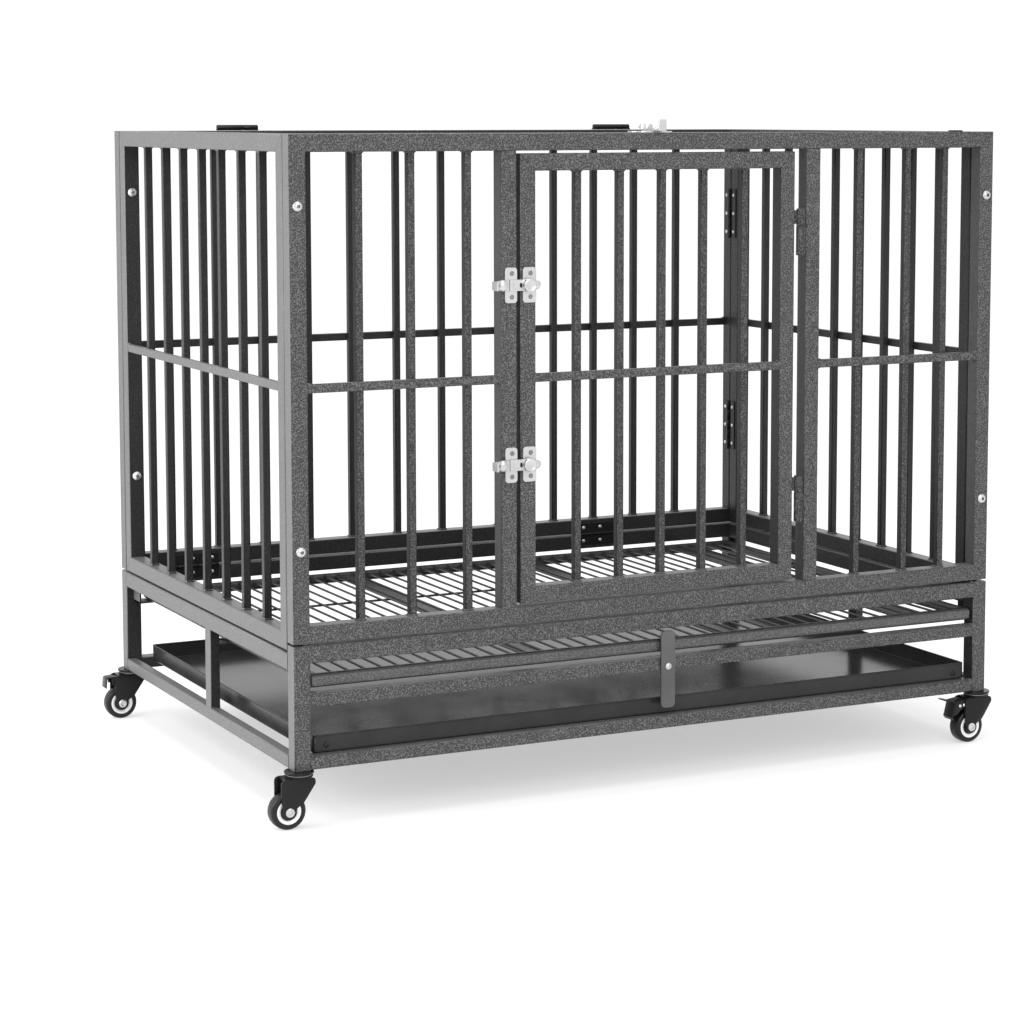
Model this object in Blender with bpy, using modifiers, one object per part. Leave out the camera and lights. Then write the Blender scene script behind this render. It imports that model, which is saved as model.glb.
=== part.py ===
# Dog crate of welded square tube on four swivel casters, with a front door,
# a lift-up roof, a slide-out floor grid and a slide-out tray.
# Units are metres, +Z is up, and the front with the door faces -Y.
# X and Y below are measured from the front left corner of the body.

import math

import bmesh
import bpy
from mathutils import Matrix, Vector

# overall
body_length = 0.920
body_depth = 0.620
total_height = 0.760

# square tube and bars
tube = 0.0195
bar = 0.0094
mid_bar_height = 0.010
mid_bar_depth = 0.0055
roof_bar_depth = 0.0047
mid_bar_sink = 0.0012
mid_bar_above_middle = 0.0025
bar_root = 0.004

# clearances
touch_gap = 0.0003
panel_gap = 0.0015
seam_gap = 0.0025
door_gap = 0.003
hinge_gap = 0.016

# base
caster_height = 0.064
low_rail_height = 0.015
tray_mouth = 0.055
mid_rail_height = 0.015
grid_slot = 0.034
back_step = 0.0095
end_rail_depth = 0.012
end_post_width = 0.019
end_post_from_front = 0.276
tray_ledge_depth = 0.050
tray_ledge_thickness = 0.003
grid_tab_thickness = 0.0026
grid_tab_reach = 0.0145
grid_tab_width = 0.024

# front panel and door
left_panel_width = 0.271
right_panel_width = 0.2685
left_panel_bars = (0.083, 0.145, 0.2135)
right_panel_bars = (0.067, 0.121, 0.190)
door_bar_count = 5
door_bar_spread = 0.1521
door_bar_shift = 0.006

# other panels: how far apart bars stand, as a share of the body's length or depth
left_end_bars = 7
left_end_spread = 0.1089
right_end_bars = 8
right_end_spread = 0.0968
back_bar_places = (
    0.0717, 0.1413, 0.2098, 0.2804, 0.3467, 0.4185,
    0.4908, 0.5837, 0.6761, 0.7440, 0.8130, 0.8870,
)
roof_bars = 12
roof_bar_spread = 0.0723

# barrel hinges
hinge_radius = 0.0053
hinge_pin_radius = 0.0025
hinge_pin_clearance = 0.0003
hinge_short = 0.020
hinge_long = 0.035
hinge_above_sill = 0.092
hinge_below_head = 0.1255
hinge_tab = 0.003
hinge_tab_inset = 0.002
hinge_pin_reach = 0.014
hinge_pin_root = 0.002
hinge_pin_end_gap = 0.001
roof_hinge_radius = 0.0036
roof_hinge_pin_radius = 0.0016
roof_hinge_tab = 0.009
roof_hinge_tab_thickness = 0.0016
roof_hinge_places = (0.1424, 0.7380)

# latches
latch_above_sill = 0.1825
latch_below_head = 0.150
latch_plate = (0.019, 0.040, 0.0015)
keeper_plate = (0.0165, 0.040, 0.0015)
latch_bar_height = 0.013
latch_bar_thickness = 0.0022
latch_bar_reach = 0.0448
latch_knob_radius = 0.0075
latch_knob_height = 0.006
latch_knob_round = 0.4
latch_tab_height = 0.011
latch_tab_width = 0.010
latch_pin_radius = 0.003
latch_pin_stand = 0.0008
roof_latch_place = 0.4913
roof_latch_reach = 0.040

# bolts at the corners
bolt_radius = 0.003
bolt_head_radius = 0.0058
bolt_head_height = 0.0032
bolt_hole_clearance = 0.0003
bolt_length = 0.032
bolt_hole_end = 0.002
cut_past = 0.002
front_bolt_up = 0.102
back_bolt_up = 0.1245
bolt_down = 0.0775

# flat hinges inside the back right corner and under the back panel
flat_hinge_length = 0.070
flat_hinge_leaf = 0.015
flat_hinge_thickness = 0.0012
flat_hinge_barrel = 0.0022
corner_hinge_up = 0.1415
corner_hinge_down = 0.1195
back_hinge_places = (0.0598, 0.7120)

# tray
tray_height = 0.020
tray_wall = 0.0012
tray_from_left = 0.026
tray_from_right = 0.024
tray_from_front = 0.012
tray_from_back = 0.042

# floor grid
grid_side_gap = 0.0025
grid_height = 0.013
grid_edge = 0.010
grid_from_front = 0.004
grid_wire = 0.003
grid_wire_below = 0.0005
grid_pitch = 0.020
grid_level_gap = 0.008
grid_cross_places = (0.2419, 0.6532)
grid_band_places = (0.3261, 0.6087, 0.8859)
grid_band_width = 0.032
grid_band_thickness = 0.002

# tray stop on the middle rail
stop_width = 0.0185
stop_up = 0.042
stop_down = 0.0495
stop_thickness = 0.003
stop_place = 0.5060
stop_hole_radius = 0.0027
stop_screw_radius = 0.0023
stop_screw_head = 0.0042
stop_screw_length = 0.012
stop_below_middle = 0.003

# casters
wheel_radius = 0.0205
wheel_width = 0.017
wheel_bore = 0.0038
axle_radius = 0.0035
axle_cap_radius = 0.0052
axle_cap = 0.0016
wheel_facets = 30
caster_trail = 0.015
caster_inset = 0.0075
head_radius = 0.017
head_height = 0.006
fork_plate = 0.0022
fork_gap = 0.0013
fork_crown = 0.0026
head_gap = 0.0004
fork_nose = 0.0152
fork_heel = 0.0100
pedal_width = 0.018
pedal_pivot = 0.002
pedal_reach = 0.0275
pedal_above_axle = 0.0290
front_right_yaw = 2.0
back_right_yaw = 8.0

# derived heights
base_bottom = caster_height
low_rail_top = base_bottom + low_rail_height
mid_rail_bottom = low_rail_top + tray_mouth
mid_rail_top = mid_rail_bottom + mid_rail_height
front_rail_bottom = mid_rail_top + grid_slot
front_rail_top = front_rail_bottom + tube
back_rail_top = front_rail_top - back_step
back_rail_bottom = back_rail_top - tube
front_panel_bottom = front_rail_top + seam_gap
back_panel_bottom = back_rail_top + seam_gap
top_rail_bottom = total_height - tube
axle_height = wheel_radius * math.cos(math.pi / wheel_facets)
end_depth_start = tube + panel_gap
end_depth_stop = body_depth - tube - panel_gap
mid_bar_level = (front_panel_bottom + total_height) / 2 + mid_bar_above_middle
stop_x = stop_place * body_length

for old in list(bpy.data.objects):
    bpy.data.objects.remove(old, do_unlink=True)
for old in list(bpy.data.collections):
    bpy.data.collections.remove(old)

crate_parts = bpy.data.collections.new("dog_crate")
cutters = bpy.data.collections.new("cutters")
bpy.context.scene.collection.children.link(crate_parts)
bpy.context.scene.collection.children.link(cutters)


def add_empty(name, place, parent=None, turn=0.0):
    empty = bpy.data.objects.new(name, None)
    empty.empty_display_size = 0.02
    empty.location = place
    empty.rotation_euler[2] = turn
    empty.parent = parent
    crate_parts.objects.link(empty)
    return empty


# the frame's origin lies on the floor below the middle of the whole outline,
# casters and latches included
outline_left = caster_inset - caster_trail - pedal_pivot - pedal_reach
outline_right = body_length - caster_inset + head_radius
outline_front = -(latch_plate[2] + latch_bar_thickness + 2 * touch_gap + latch_tab_height)
outline_back = body_depth - caster_inset + head_radius
crate = add_empty(
    "crate",
    (-(outline_left + outline_right) / 2, -(outline_front + outline_back) / 2, 0.0),
)


def make_paint(name, colour, roughness, metallic):
    paint = bpy.data.materials.new(name)
    paint.use_nodes = True
    shader = paint.node_tree.nodes["Principled BSDF"]
    shader.inputs["Base Color"].default_value = (*colour, 1.0)
    shader.inputs["Roughness"].default_value = roughness
    shader.inputs["Metallic"].default_value = metallic
    return paint


hammered = ("hammered_grey", (0.115, 0.115, 0.115), 0.45, 0.6)
black_paint = ("black_paint", (0.02, 0.02, 0.02), 0.35, 0.3)
tray_black = ("tray_black", (0.018, 0.018, 0.018), 0.25, 0.2)
zinc = ("bright_zinc", (0.62, 0.62, 0.62), 0.25, 1.0)
strip_grey = ("strip_grey", (0.14, 0.14, 0.14), 0.4, 0.6)
black_resin = ("black_resin", (0.015, 0.015, 0.015), 0.4, 0.0)


def place_mesh(name, mesh, paint, place, parent=crate):
    part = bpy.data.objects.new(name, mesh)
    part.location = place
    part.parent = parent
    crate_parts.objects.link(part)
    mesh.materials.append(make_paint(name + "_" + paint[0], *paint[1:]))
    return part


def cube_into(shape, low, high):
    """Adds one closed box between two corners."""
    low = Vector(low)
    high = Vector(high)
    size = high - low
    move = Matrix.Translation((low + high) / 2) @ Matrix.Diagonal((*size, 1.0))
    bmesh.ops.create_cube(shape, size=1.0, matrix=move)


def mesh_of(name, shape):
    bmesh.ops.recalc_face_normals(shape, faces=shape.faces)
    mesh = bpy.data.meshes.new(name)
    shape.to_mesh(mesh)
    shape.free()
    return mesh


def make_helper(name, shape, place=(0.0, 0.0, 0.0), parent=crate):
    helper = bpy.data.objects.new(name, mesh_of(name, shape))
    helper.location = place
    helper.parent = parent
    helper.hide_render = True
    helper.display_type = "WIRE"
    cutters.objects.link(helper)
    return helper


def use_boolean(part, helper, operation):
    modifier = part.modifiers.new(helper.name, "BOOLEAN")
    modifier.operation = operation
    modifier.solver = "EXACT"
    modifier.use_self = operation == "UNION"
    modifier.object = helper


def weld_boxes(name, boxes, paint, place=(0.0, 0.0, 0.0), parent=crate):
    """One solid from boxes given as (low corner, high corner) that run into each other."""
    first = bmesh.new()
    cube_into(first, *boxes[0])
    part = place_mesh(name, mesh_of(name, first), paint, place, parent)
    if len(boxes) > 1:
        rest = bmesh.new()
        for low, high in boxes[1:]:
            cube_into(rest, low, high)
        use_boolean(part, make_helper(name + "_rest", rest, place, parent), "UNION")
    return part


def rod_into(shape, radius, start, stop, sides=16):
    """Adds one closed cylinder between two points."""
    start = Vector(start)
    stop = Vector(stop)
    along = stop - start
    turn = along.to_track_quat("Z", "Y").to_matrix().to_4x4()
    move = Matrix.Translation((start + stop) / 2) @ turn
    bmesh.ops.create_cone(
        shape,
        cap_ends=True,
        segments=sides,
        radius1=radius,
        radius2=radius,
        depth=along.length,
        matrix=move,
    )


def bore(part, radius, start, stop, sides=16, parent=crate):
    shape = bmesh.new()
    rod_into(shape, radius, start, stop, sides)
    helper = make_helper(part.name + "_bore", shape, parent=parent)
    use_boolean(part, helper, "DIFFERENCE")


def smooth(part, angle=35.0):
    part.data.shade_smooth()
    part.data.set_sharp_from_angle(angle=math.radians(angle))
    return part


def turn_profile(name, points, closed, steps, paint, place, parent, axis_turn=(0.0, 0.0, 0.0)):
    """A turned solid: points are (radius, height) down the outer side."""
    shape = bmesh.new()
    corners = [shape.verts.new((r, 0.0, z)) for r, z in points]
    for a, b in zip(corners, corners[1:]):
        shape.edges.new((a, b))
    if closed:
        shape.edges.new((corners[-1], corners[0]))
    mesh = bpy.data.meshes.new(name)
    shape.to_mesh(mesh)
    shape.free()
    part = place_mesh(name, mesh, paint, place, parent)
    part.rotation_euler = axis_turn
    screw = part.modifiers.new("turn", "SCREW")
    screw.axis = "Z"
    screw.steps = steps
    screw.render_steps = steps
    screw.use_merge_vertices = True
    screw.merge_threshold = 0.00002
    screw.use_smooth_shade = True
    return part


def plate_into(shape, outline, low, high):
    """Adds a flat plate: outline is (x, z) pairs, and it runs from y low to y high."""
    corners = [shape.verts.new((x, low, z)) for x, z in outline]
    face = shape.faces.new(corners)
    made = bmesh.ops.extrude_face_region(shape, geom=[face])
    moved = [v for v in made["geom"] if isinstance(v, bmesh.types.BMVert)]
    bmesh.ops.translate(shape, vec=(0.0, high - low, 0.0), verts=moved)


# panels


def upright_bars(places, depth_middle, low, high):
    """Boxes of square bars that stand in a front or back panel."""
    half = bar / 2
    return [
        ((x - half, depth_middle - half, low), (x + half, depth_middle + half, high))
        for x in places
    ]


def front_facing_grille(name, left, right, bottom, top, places, front, paint=hammered):
    """A framed grille whose outer side faces -Y, with its middle bar outside its uprights."""
    back = front + tube
    middle = front + tube / 2
    boxes = [
        ((left, front, bottom), (left + tube, back, top)),
        ((right - tube, front, bottom), (right, back, top)),
        ((left + tube / 2, front, top - tube), (right - tube / 2, back, top)),
        ((left + tube / 2, front, bottom), (right - tube / 2, back, bottom + tube)),
    ]
    boxes += upright_bars(places, middle, bottom + tube - bar_root, top - tube + bar_root)
    outer = middle - bar / 2 - mid_bar_depth + mid_bar_sink
    boxes.append(
        (
            (left + tube - bar_root, outer, mid_bar_level - mid_bar_height / 2),
            (right - tube + bar_root, outer + mid_bar_depth, mid_bar_level + mid_bar_height / 2),
        )
    )
    return weld_boxes(name, boxes, paint)


right_panel_start = body_length - right_panel_width
front_left_panel = front_facing_grille(
    "front_left_panel",
    0.0,
    left_panel_width,
    front_panel_bottom,
    total_height,
    left_panel_bars,
    0.0,
)
front_right_panel = front_facing_grille(
    "front_right_panel",
    right_panel_start,
    body_length,
    front_panel_bottom,
    total_height,
    [body_length - x for x in right_panel_bars],
    0.0,
)

for rail_name, rail_low in (
    ("door_head_rail", top_rail_bottom),
    ("door_sill_rail", front_panel_bottom),
):
    weld_boxes(
        rail_name,
        [
            (
                (left_panel_width + touch_gap, 0.0, rail_low),
                (right_panel_start - touch_gap, tube, rail_low + tube),
            )
        ],
        hammered,
    )


def back_panel_boxes():
    front = body_depth - tube
    back = body_depth
    middle = front + tube / 2
    bottom = back_panel_bottom
    top = total_height
    boxes = [
        ((0.0, front, bottom), (tube, back, top)),
        ((body_length - tube, front, bottom), (body_length, back, top)),
        ((tube / 2, front, top - tube), (body_length - tube / 2, back, top)),
        ((tube / 2, front, bottom), (body_length - tube / 2, back, bottom + tube)),
    ]
    places = [share * body_length for share in back_bar_places]
    boxes += upright_bars(places, middle, bottom + tube - bar_root, top - tube + bar_root)
    inner = middle + bar / 2 - mid_bar_sink
    boxes.append(
        (
            (tube - bar_root, inner, mid_bar_level - mid_bar_height / 2),
            (body_length - tube + bar_root, inner + mid_bar_depth, mid_bar_level + mid_bar_height / 2),
        )
    )
    return boxes


back_panel = weld_boxes("back_panel", back_panel_boxes(), hammered)


def end_panel(name, outer, side, count, spread):
    """An end grille. outer is its outside face, and side is 1 where inward is +X."""
    pitch = spread * body_depth
    middle = outer + side * tube / 2
    front = end_depth_start
    back = end_depth_stop
    bottom = back_panel_bottom
    top = total_height

    def across(a, b):
        return min(outer + side * a, outer + side * b), max(outer + side * a, outer + side * b)

    near, far = across(0.0, tube)
    boxes = [
        ((near, front, bottom), (far, front + tube, top)),
        ((near, back - tube, bottom), (far, back, top)),
        ((near, front + tube / 2, top - tube), (far, back - tube / 2, top)),
        ((near, front + tube / 2, bottom), (far, back - tube / 2, bottom + tube)),
    ]
    half = bar / 2
    first = body_depth / 2 - pitch * (count - 1) / 2
    for i in range(count):
        y = first + i * pitch
        boxes.append(
            (
                (middle - half, y - half, bottom + tube - bar_root),
                (middle + half, y + half, top - tube + bar_root),
            )
        )
    skin = tube / 2 - half - mid_bar_depth + mid_bar_sink
    low, high = across(skin, skin + mid_bar_depth)
    boxes.append(
        (
            (low, front + tube - bar_root, mid_bar_level - mid_bar_height / 2),
            (high, back - tube + bar_root, mid_bar_level + mid_bar_height / 2),
        )
    )
    return weld_boxes(name, boxes, hammered)


left_end_panel = end_panel("left_end_panel", 0.0, 1, left_end_bars, left_end_spread)
right_end_panel = end_panel("right_end_panel", body_length, -1, right_end_bars, right_end_spread)

# base

low_rail_back = body_depth - tube
base_front_frame = weld_boxes(
    "base_front_frame",
    [
        ((0.0, 0.0, base_bottom), (tube, tube, front_rail_top)),
        ((body_length - tube, 0.0, base_bottom), (body_length, tube, front_rail_top)),
        ((tube / 2, 0.0, base_bottom), (body_length - tube / 2, tube, low_rail_top)),
        ((tube / 2, 0.0, mid_rail_bottom), (body_length - tube / 2, mid_rail_height, mid_rail_top)),
        ((tube / 2, 0.0, front_rail_bottom), (body_length - tube / 2, tube, front_rail_top)),
    ],
    hammered,
)
base_back_frame = weld_boxes(
    "base_back_frame",
    [
        ((0.0, low_rail_back, base_bottom), (tube, body_depth, back_rail_top)),
        ((body_length - tube, low_rail_back, base_bottom), (body_length, body_depth, back_rail_top)),
        ((tube / 2, low_rail_back, base_bottom), (body_length - tube / 2, body_depth, low_rail_top)),
        ((tube / 2, low_rail_back, back_rail_bottom), (body_length - tube / 2, body_depth, back_rail_top)),
        (
            (3 * tube, low_rail_back - tray_ledge_depth, low_rail_top - tray_ledge_thickness),
            (body_length - 3 * tube, low_rail_back + bar_root, low_rail_top),
        ),
    ],
    hammered,
)


def base_end(name, outer, side):
    """The rails of one end of the base, its middle post and the tabs that hold the floor grid."""
    front = tube + touch_gap
    back = low_rail_back - touch_gap
    tab_top = mid_rail_top + grid_level_gap - touch_gap
    tab_bottom = tab_top - grid_tab_thickness

    def box(a, b, y0, y1, z0, z1):
        low = min(outer + side * a, outer + side * b)
        high = max(outer + side * a, outer + side * b)
        return (low, y0, z0), (high, y1, z1)

    post_back = end_post_from_front + end_post_width
    boxes = [
        box(0.0, tube, front, back, back_rail_bottom, back_rail_top),
        box(0.0, end_rail_depth, front, back, base_bottom, low_rail_top),
        box(
            0.0,
            end_rail_depth,
            end_post_from_front,
            post_back,
            low_rail_top - bar_root,
            back_rail_bottom + bar_root,
        ),
        box(
            end_rail_depth - bar_root,
            tube + grid_tab_reach,
            end_post_from_front,
            post_back,
            tab_bottom,
            tab_top,
        ),
    ]
    for start in (front, back - grid_tab_width):
        stop = start + grid_tab_width
        hanger = end_rail_depth - grid_tab_thickness
        boxes.append(
            box(hanger, end_rail_depth, start, stop, tab_bottom, back_rail_bottom + bar_root)
        )
        boxes.append(box(hanger, tube + grid_tab_reach, start, stop, tab_bottom, tab_top))
    return weld_boxes(name, boxes, hammered)


base_end("base_left_end", 0.0, 1)
base_end("base_right_end", body_length, -1)

# corner bolts


def bolt(name, x, level, head_face):
    """A dome-headed bolt that runs back along +Y from the face its head sits on."""
    points = [
        (0.0, bolt_head_height),
        (bolt_head_radius * 0.55, bolt_head_height * 0.86),
        (bolt_head_radius * 0.9, bolt_head_height * 0.45),
        (bolt_head_radius, 0.0),
        (bolt_radius, 0.0),
        (bolt_radius, -bolt_length),
        (0.0, -bolt_length),
    ]
    turn_profile(
        name,
        points,
        False,
        12,
        zinc,
        (x, head_face - touch_gap, level),
        crate,
        (math.pi / 2, 0.0, 0.0),
    )


left_bolt_x = tube / 2
right_bolt_x = body_length - tube / 2
bolt_hole = bolt_radius + bolt_hole_clearance
front_bolt_levels = (front_panel_bottom + front_bolt_up, total_height - bolt_down)
back_bolt_levels = (back_panel_bottom + back_bolt_up, total_height - bolt_down)
for side_name, x, front_part, end_part in (
    ("left", left_bolt_x, front_left_panel, left_end_panel),
    ("right", right_bolt_x, front_right_panel, right_end_panel),
):
    for row_name, level in zip(("low", "high"), front_bolt_levels):
        bolt(f"front_{side_name}_{row_name}_bolt", x, level, 0.0)
        through = tube + panel_gap / 2
        tip = bolt_length + bolt_hole_end
        bore(front_part, bolt_hole, (x, -cut_past, level), (x, through, level), 12)
        bore(end_part, bolt_hole, (x, through, level), (x, tip, level), 12)
    back_face = end_depth_stop - tube
    for row_name, level in zip(("low", "high"), back_bolt_levels):
        bolt(f"back_{side_name}_{row_name}_bolt", x, level, back_face)
        through = body_depth - tube - panel_gap / 2
        tip = back_face + bolt_length + bolt_hole_end
        bore(end_part, bolt_hole, (x, back_face - cut_past, level), (x, through, level), 12)
        bore(back_panel, bolt_hole, (x, through, level), (x, tip, level), 12)

# front door

door_left = left_panel_width + door_gap
door_right = right_panel_start - hinge_gap
door_bottom = front_panel_bottom + tube + door_gap
door_top = top_rail_bottom - door_gap
hinge_x = (door_right + right_panel_start) / 2
door_swing = add_empty("door_swing", (hinge_x, 0.0, 0.0), crate)


def door_boxes():
    middle = tube / 2
    left = door_left - hinge_x
    right = door_right - hinge_x
    boxes = [
        ((left, 0.0, door_bottom), (left + tube, tube, door_top)),
        ((right - tube, 0.0, door_bottom), (right, tube, door_top)),
        ((left + tube / 2, 0.0, door_top - tube), (right - tube / 2, tube, door_top)),
        ((left + tube / 2, 0.0, door_bottom), (right - tube / 2, tube, door_bottom + tube)),
    ]
    pitch = door_bar_spread * (right - left)
    first = (left + right) / 2 + door_bar_shift - pitch * (door_bar_count - 1) / 2
    places = [first + i * pitch for i in range(door_bar_count)]
    boxes += upright_bars(
        places, middle, door_bottom + tube - bar_root, door_top - tube + bar_root
    )
    outer = middle - bar / 2 - mid_bar_depth + mid_bar_sink
    boxes.append(
        (
            (left + tube - bar_root, outer, mid_bar_level - mid_bar_height / 2),
            (right - tube + bar_root, outer + mid_bar_depth, mid_bar_level + mid_bar_height / 2),
        )
    )
    return boxes


front_door = weld_boxes("front_door", door_boxes(), hammered, parent=door_swing)


def hinge_half(name, radius, pin, length, tab, pin_length, paint, place, parent, turn=(0.0, 0.0, 0.0)):
    """Half of a lift-off hinge. A positive pin_length is a pin above it, a negative one a hole."""
    shape = bmesh.new()
    rod_into(shape, radius, (0.0, 0.0, 0.0), (0.0, 0.0, length), 16)
    half = place_mesh(name, mesh_of(name, shape), paint, place, parent)
    half.rotation_euler = turn
    weld = bmesh.new()
    cube_into(weld, *tab)
    helper = make_helper(name + "_tab", weld, place, parent)
    helper.rotation_euler = turn
    use_boolean(half, helper, "UNION")
    inner = bmesh.new()
    if pin_length > 0:
        root = length - hinge_pin_root
        rod_into(inner, pin, (0.0, 0.0, root), (0.0, 0.0, length + pin_length), 12)
    else:
        hole = pin + hinge_pin_clearance
        rod_into(inner, hole, (0.0, 0.0, -hinge_pin_root), (0.0, 0.0, -pin_length), 12)
    helper = make_helper(name + "_pin", inner, place, parent)
    helper.rotation_euler = turn
    use_boolean(half, helper, "UNION" if pin_length > 0 else "DIFFERENCE")
    return smooth(half)


tab_low = hinge_tab_inset
long_tab_high = hinge_long - hinge_tab_inset
short_tab_high = hinge_short - hinge_tab_inset
post_tab_end = right_panel_start - hinge_x - touch_gap
door_tab_end = door_right - hinge_x + touch_gap
hinge_levels = (front_panel_bottom + hinge_above_sill, top_rail_bottom - hinge_below_head)
for row_name, level in zip(("low", "high"), hinge_levels):
    hinge_half(
        f"door_hinge_{row_name}_post_half",
        hinge_radius,
        hinge_pin_radius,
        hinge_long,
        ((0.0, 0.0, tab_low), (post_tab_end, hinge_tab, long_tab_high)),
        hinge_pin_reach,
        hammered,
        (hinge_x, 0.0, level),
        crate,
    )
    hinge_half(
        f"door_hinge_{row_name}_door_half",
        hinge_radius,
        hinge_pin_radius,
        hinge_short,
        ((door_tab_end, 0.0, tab_low), (-hinge_pin_radius, hinge_tab, short_tab_high)),
        -(hinge_pin_reach + hinge_pin_end_gap),
        hammered,
        (0.0, 0.0, level + hinge_long + touch_gap),
        door_swing,
    )

# door latches


def rounded_plate(shape, width, height, radius, low, high, centre=(0.0, 0.0), steps=4):
    """Adds a plate with round corners, upright in X and Z, between two depths."""
    outline = []
    for cx, cz, start in (
        (width / 2 - radius, height / 2 - radius, 0.0),
        (-width / 2 + radius, height / 2 - radius, 90.0),
        (-width / 2 + radius, -height / 2 + radius, 180.0),
        (width / 2 - radius, -height / 2 + radius, 270.0),
    ):
        for i in range(steps + 1):
            a = math.radians(start + 90.0 * i / steps)
            outline.append(
                (
                    centre[0] + cx + radius * math.cos(a),
                    centre[1] + cz + radius * math.sin(a),
                )
            )
    plate_into(shape, outline, low, high)


def latch_plate_part(name, size, place, parent, pin_length=0.0, turn=(0.0, 0.0, 0.0)):
    """A plate that lies on the face at y = 0, with a pin where a lever turns on it."""
    shape = bmesh.new()
    rounded_plate(shape, size[0], size[1], size[0] * 0.28, -touch_gap - size[2], -touch_gap)
    part = place_mesh(name, mesh_of(name, shape), zinc, place, parent)
    part.rotation_euler = turn
    if pin_length > 0:
        pin = bmesh.new()
        rod_into(
            pin,
            latch_pin_radius,
            (0.0, -touch_gap - size[2] / 2, 0.0),
            (0.0, -touch_gap - size[2] - pin_length, 0.0),
            12,
        )
        helper = make_helper(name + "_pin", pin, place, parent)
        helper.rotation_euler = turn
        use_boolean(part, helper, "UNION")
    return part


def latch_lever(name, reach, parent, turn=(0.0, 0.0, 0.0)):
    """A lever on its pin at the origin: it reaches to -X, where its finger tab stands out to -Y,
    and a domed knob covers its pin."""
    back = -2 * touch_gap - latch_plate[2]
    front = back - latch_bar_thickness
    half = latch_bar_height / 2
    nose = half * 0.7
    tab_half = latch_tab_width / 2
    nose_half = tab_half - touch_gap
    nose_end = -reach + latch_bar_thickness / 2
    outline = [
        (0.0, -half),
        (0.0, half),
        (-reach + 2 * nose, half),
        (-reach + nose, nose_half),
        (nose_end, nose_half),
        (nose_end, -nose_half),
        (-reach + nose, -nose_half),
        (-reach + 2 * nose, -half),
    ]
    shape = bmesh.new()
    plate_into(shape, outline, front, back)
    part = place_mesh(name, mesh_of(name, shape), zinc, (0.0, 0.0, 0.0), parent)
    part.rotation_euler = turn
    added = bmesh.new()
    rise = front - latch_knob_height
    root = (front + back) / 2
    rod_into(added, latch_knob_radius, (0.0, root, 0.0), (0.0, rise, 0.0), 20)
    rim = [e for e in added.edges if max(v.co.y for v in e.verts) < rise + touch_gap]
    bmesh.ops.bevel(
        added,
        geom=rim,
        offset=latch_knob_height * latch_knob_round,
        offset_type="OFFSET",
        segments=1,
        profile=0.5,
        affect="EDGES",
        material=-1,
    )
    tab_front = front - latch_tab_height
    tab_back = back - touch_gap
    cube_into(added, (-reach, tab_front, -tab_half), (-reach + latch_bar_thickness, tab_back, tab_half))
    helper = make_helper(name + "_knob", added, parent=parent)
    helper.rotation_euler = turn
    use_boolean(part, helper, "UNION")
    hole = bmesh.new()
    floor = front - latch_pin_stand - touch_gap
    rod_into(hole, latch_pin_radius + touch_gap, (0.0, back + cut_past, 0.0), (0.0, floor, 0.0), 12)
    helper = make_helper(name + "_hole", hole, parent=parent)
    helper.rotation_euler = turn
    use_boolean(part, helper, "DIFFERENCE")
    return part


latch_x = door_left + tube / 2
keeper_x = left_panel_width - tube / 2
pin_reach = touch_gap + latch_bar_thickness + latch_pin_stand
latch_levels = (front_panel_bottom + latch_above_sill, top_rail_bottom - latch_below_head)
for row_name, level in zip(("low", "high"), latch_levels):
    latch_plate_part(f"latch_{row_name}_keeper", keeper_plate, (keeper_x, 0.0, level), crate)
    place = (latch_x - hinge_x, 0.0, level)
    latch_plate_part(f"latch_{row_name}_plate", latch_plate, place, door_swing, pin_reach)
    swivel = add_empty(f"latch_{row_name}_swivel", place, door_swing)
    latch_lever(f"latch_{row_name}_lever", latch_bar_reach, swivel)

# roof lid

lid_left = tube + panel_gap
lid_right = body_length - tube - panel_gap
lid_front = tube + panel_gap
lid_back = body_depth - tube - panel_gap
roof_axis_y = (lid_back + body_depth - tube) / 2
roof_axis_z = total_height + touch_gap + roof_hinge_radius
roof_swing = add_empty("roof_swing", (0.0, roof_axis_y, roof_axis_z), crate)


def lid_boxes():
    front = lid_front - roof_axis_y
    back = lid_back - roof_axis_y
    low = top_rail_bottom - roof_axis_z
    high = total_height - roof_axis_z
    middle = (low + high) / 2
    half = bar / 2
    boxes = [
        ((lid_left, front, low), (lid_left + tube, back, high)),
        ((lid_right - tube, front, low), (lid_right, back, high)),
        ((lid_left + tube / 2, front, low), (lid_right - tube / 2, front + tube, high)),
        ((lid_left + tube / 2, back - tube, low), (lid_right - tube / 2, back, high)),
    ]
    pitch = roof_bar_spread * body_length
    first = body_length / 2 - pitch * (roof_bars - 1) / 2
    for i in range(roof_bars):
        x = first + i * pitch
        boxes.append(
            (
                (x - half, front + tube - bar_root, middle - half),
                (x + half, back - tube + bar_root, middle + half),
            )
        )
    across = (front + back) / 2
    outer = middle + half - mid_bar_sink
    boxes.append(
        (
            (lid_left + tube - bar_root, across - mid_bar_height / 2, outer),
            (lid_right - tube + bar_root, across + mid_bar_height / 2, outer + roof_bar_depth),
        )
    )
    return boxes


roof_lid = weld_boxes("roof_lid", lid_boxes(), hammered, parent=roof_swing)

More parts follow.
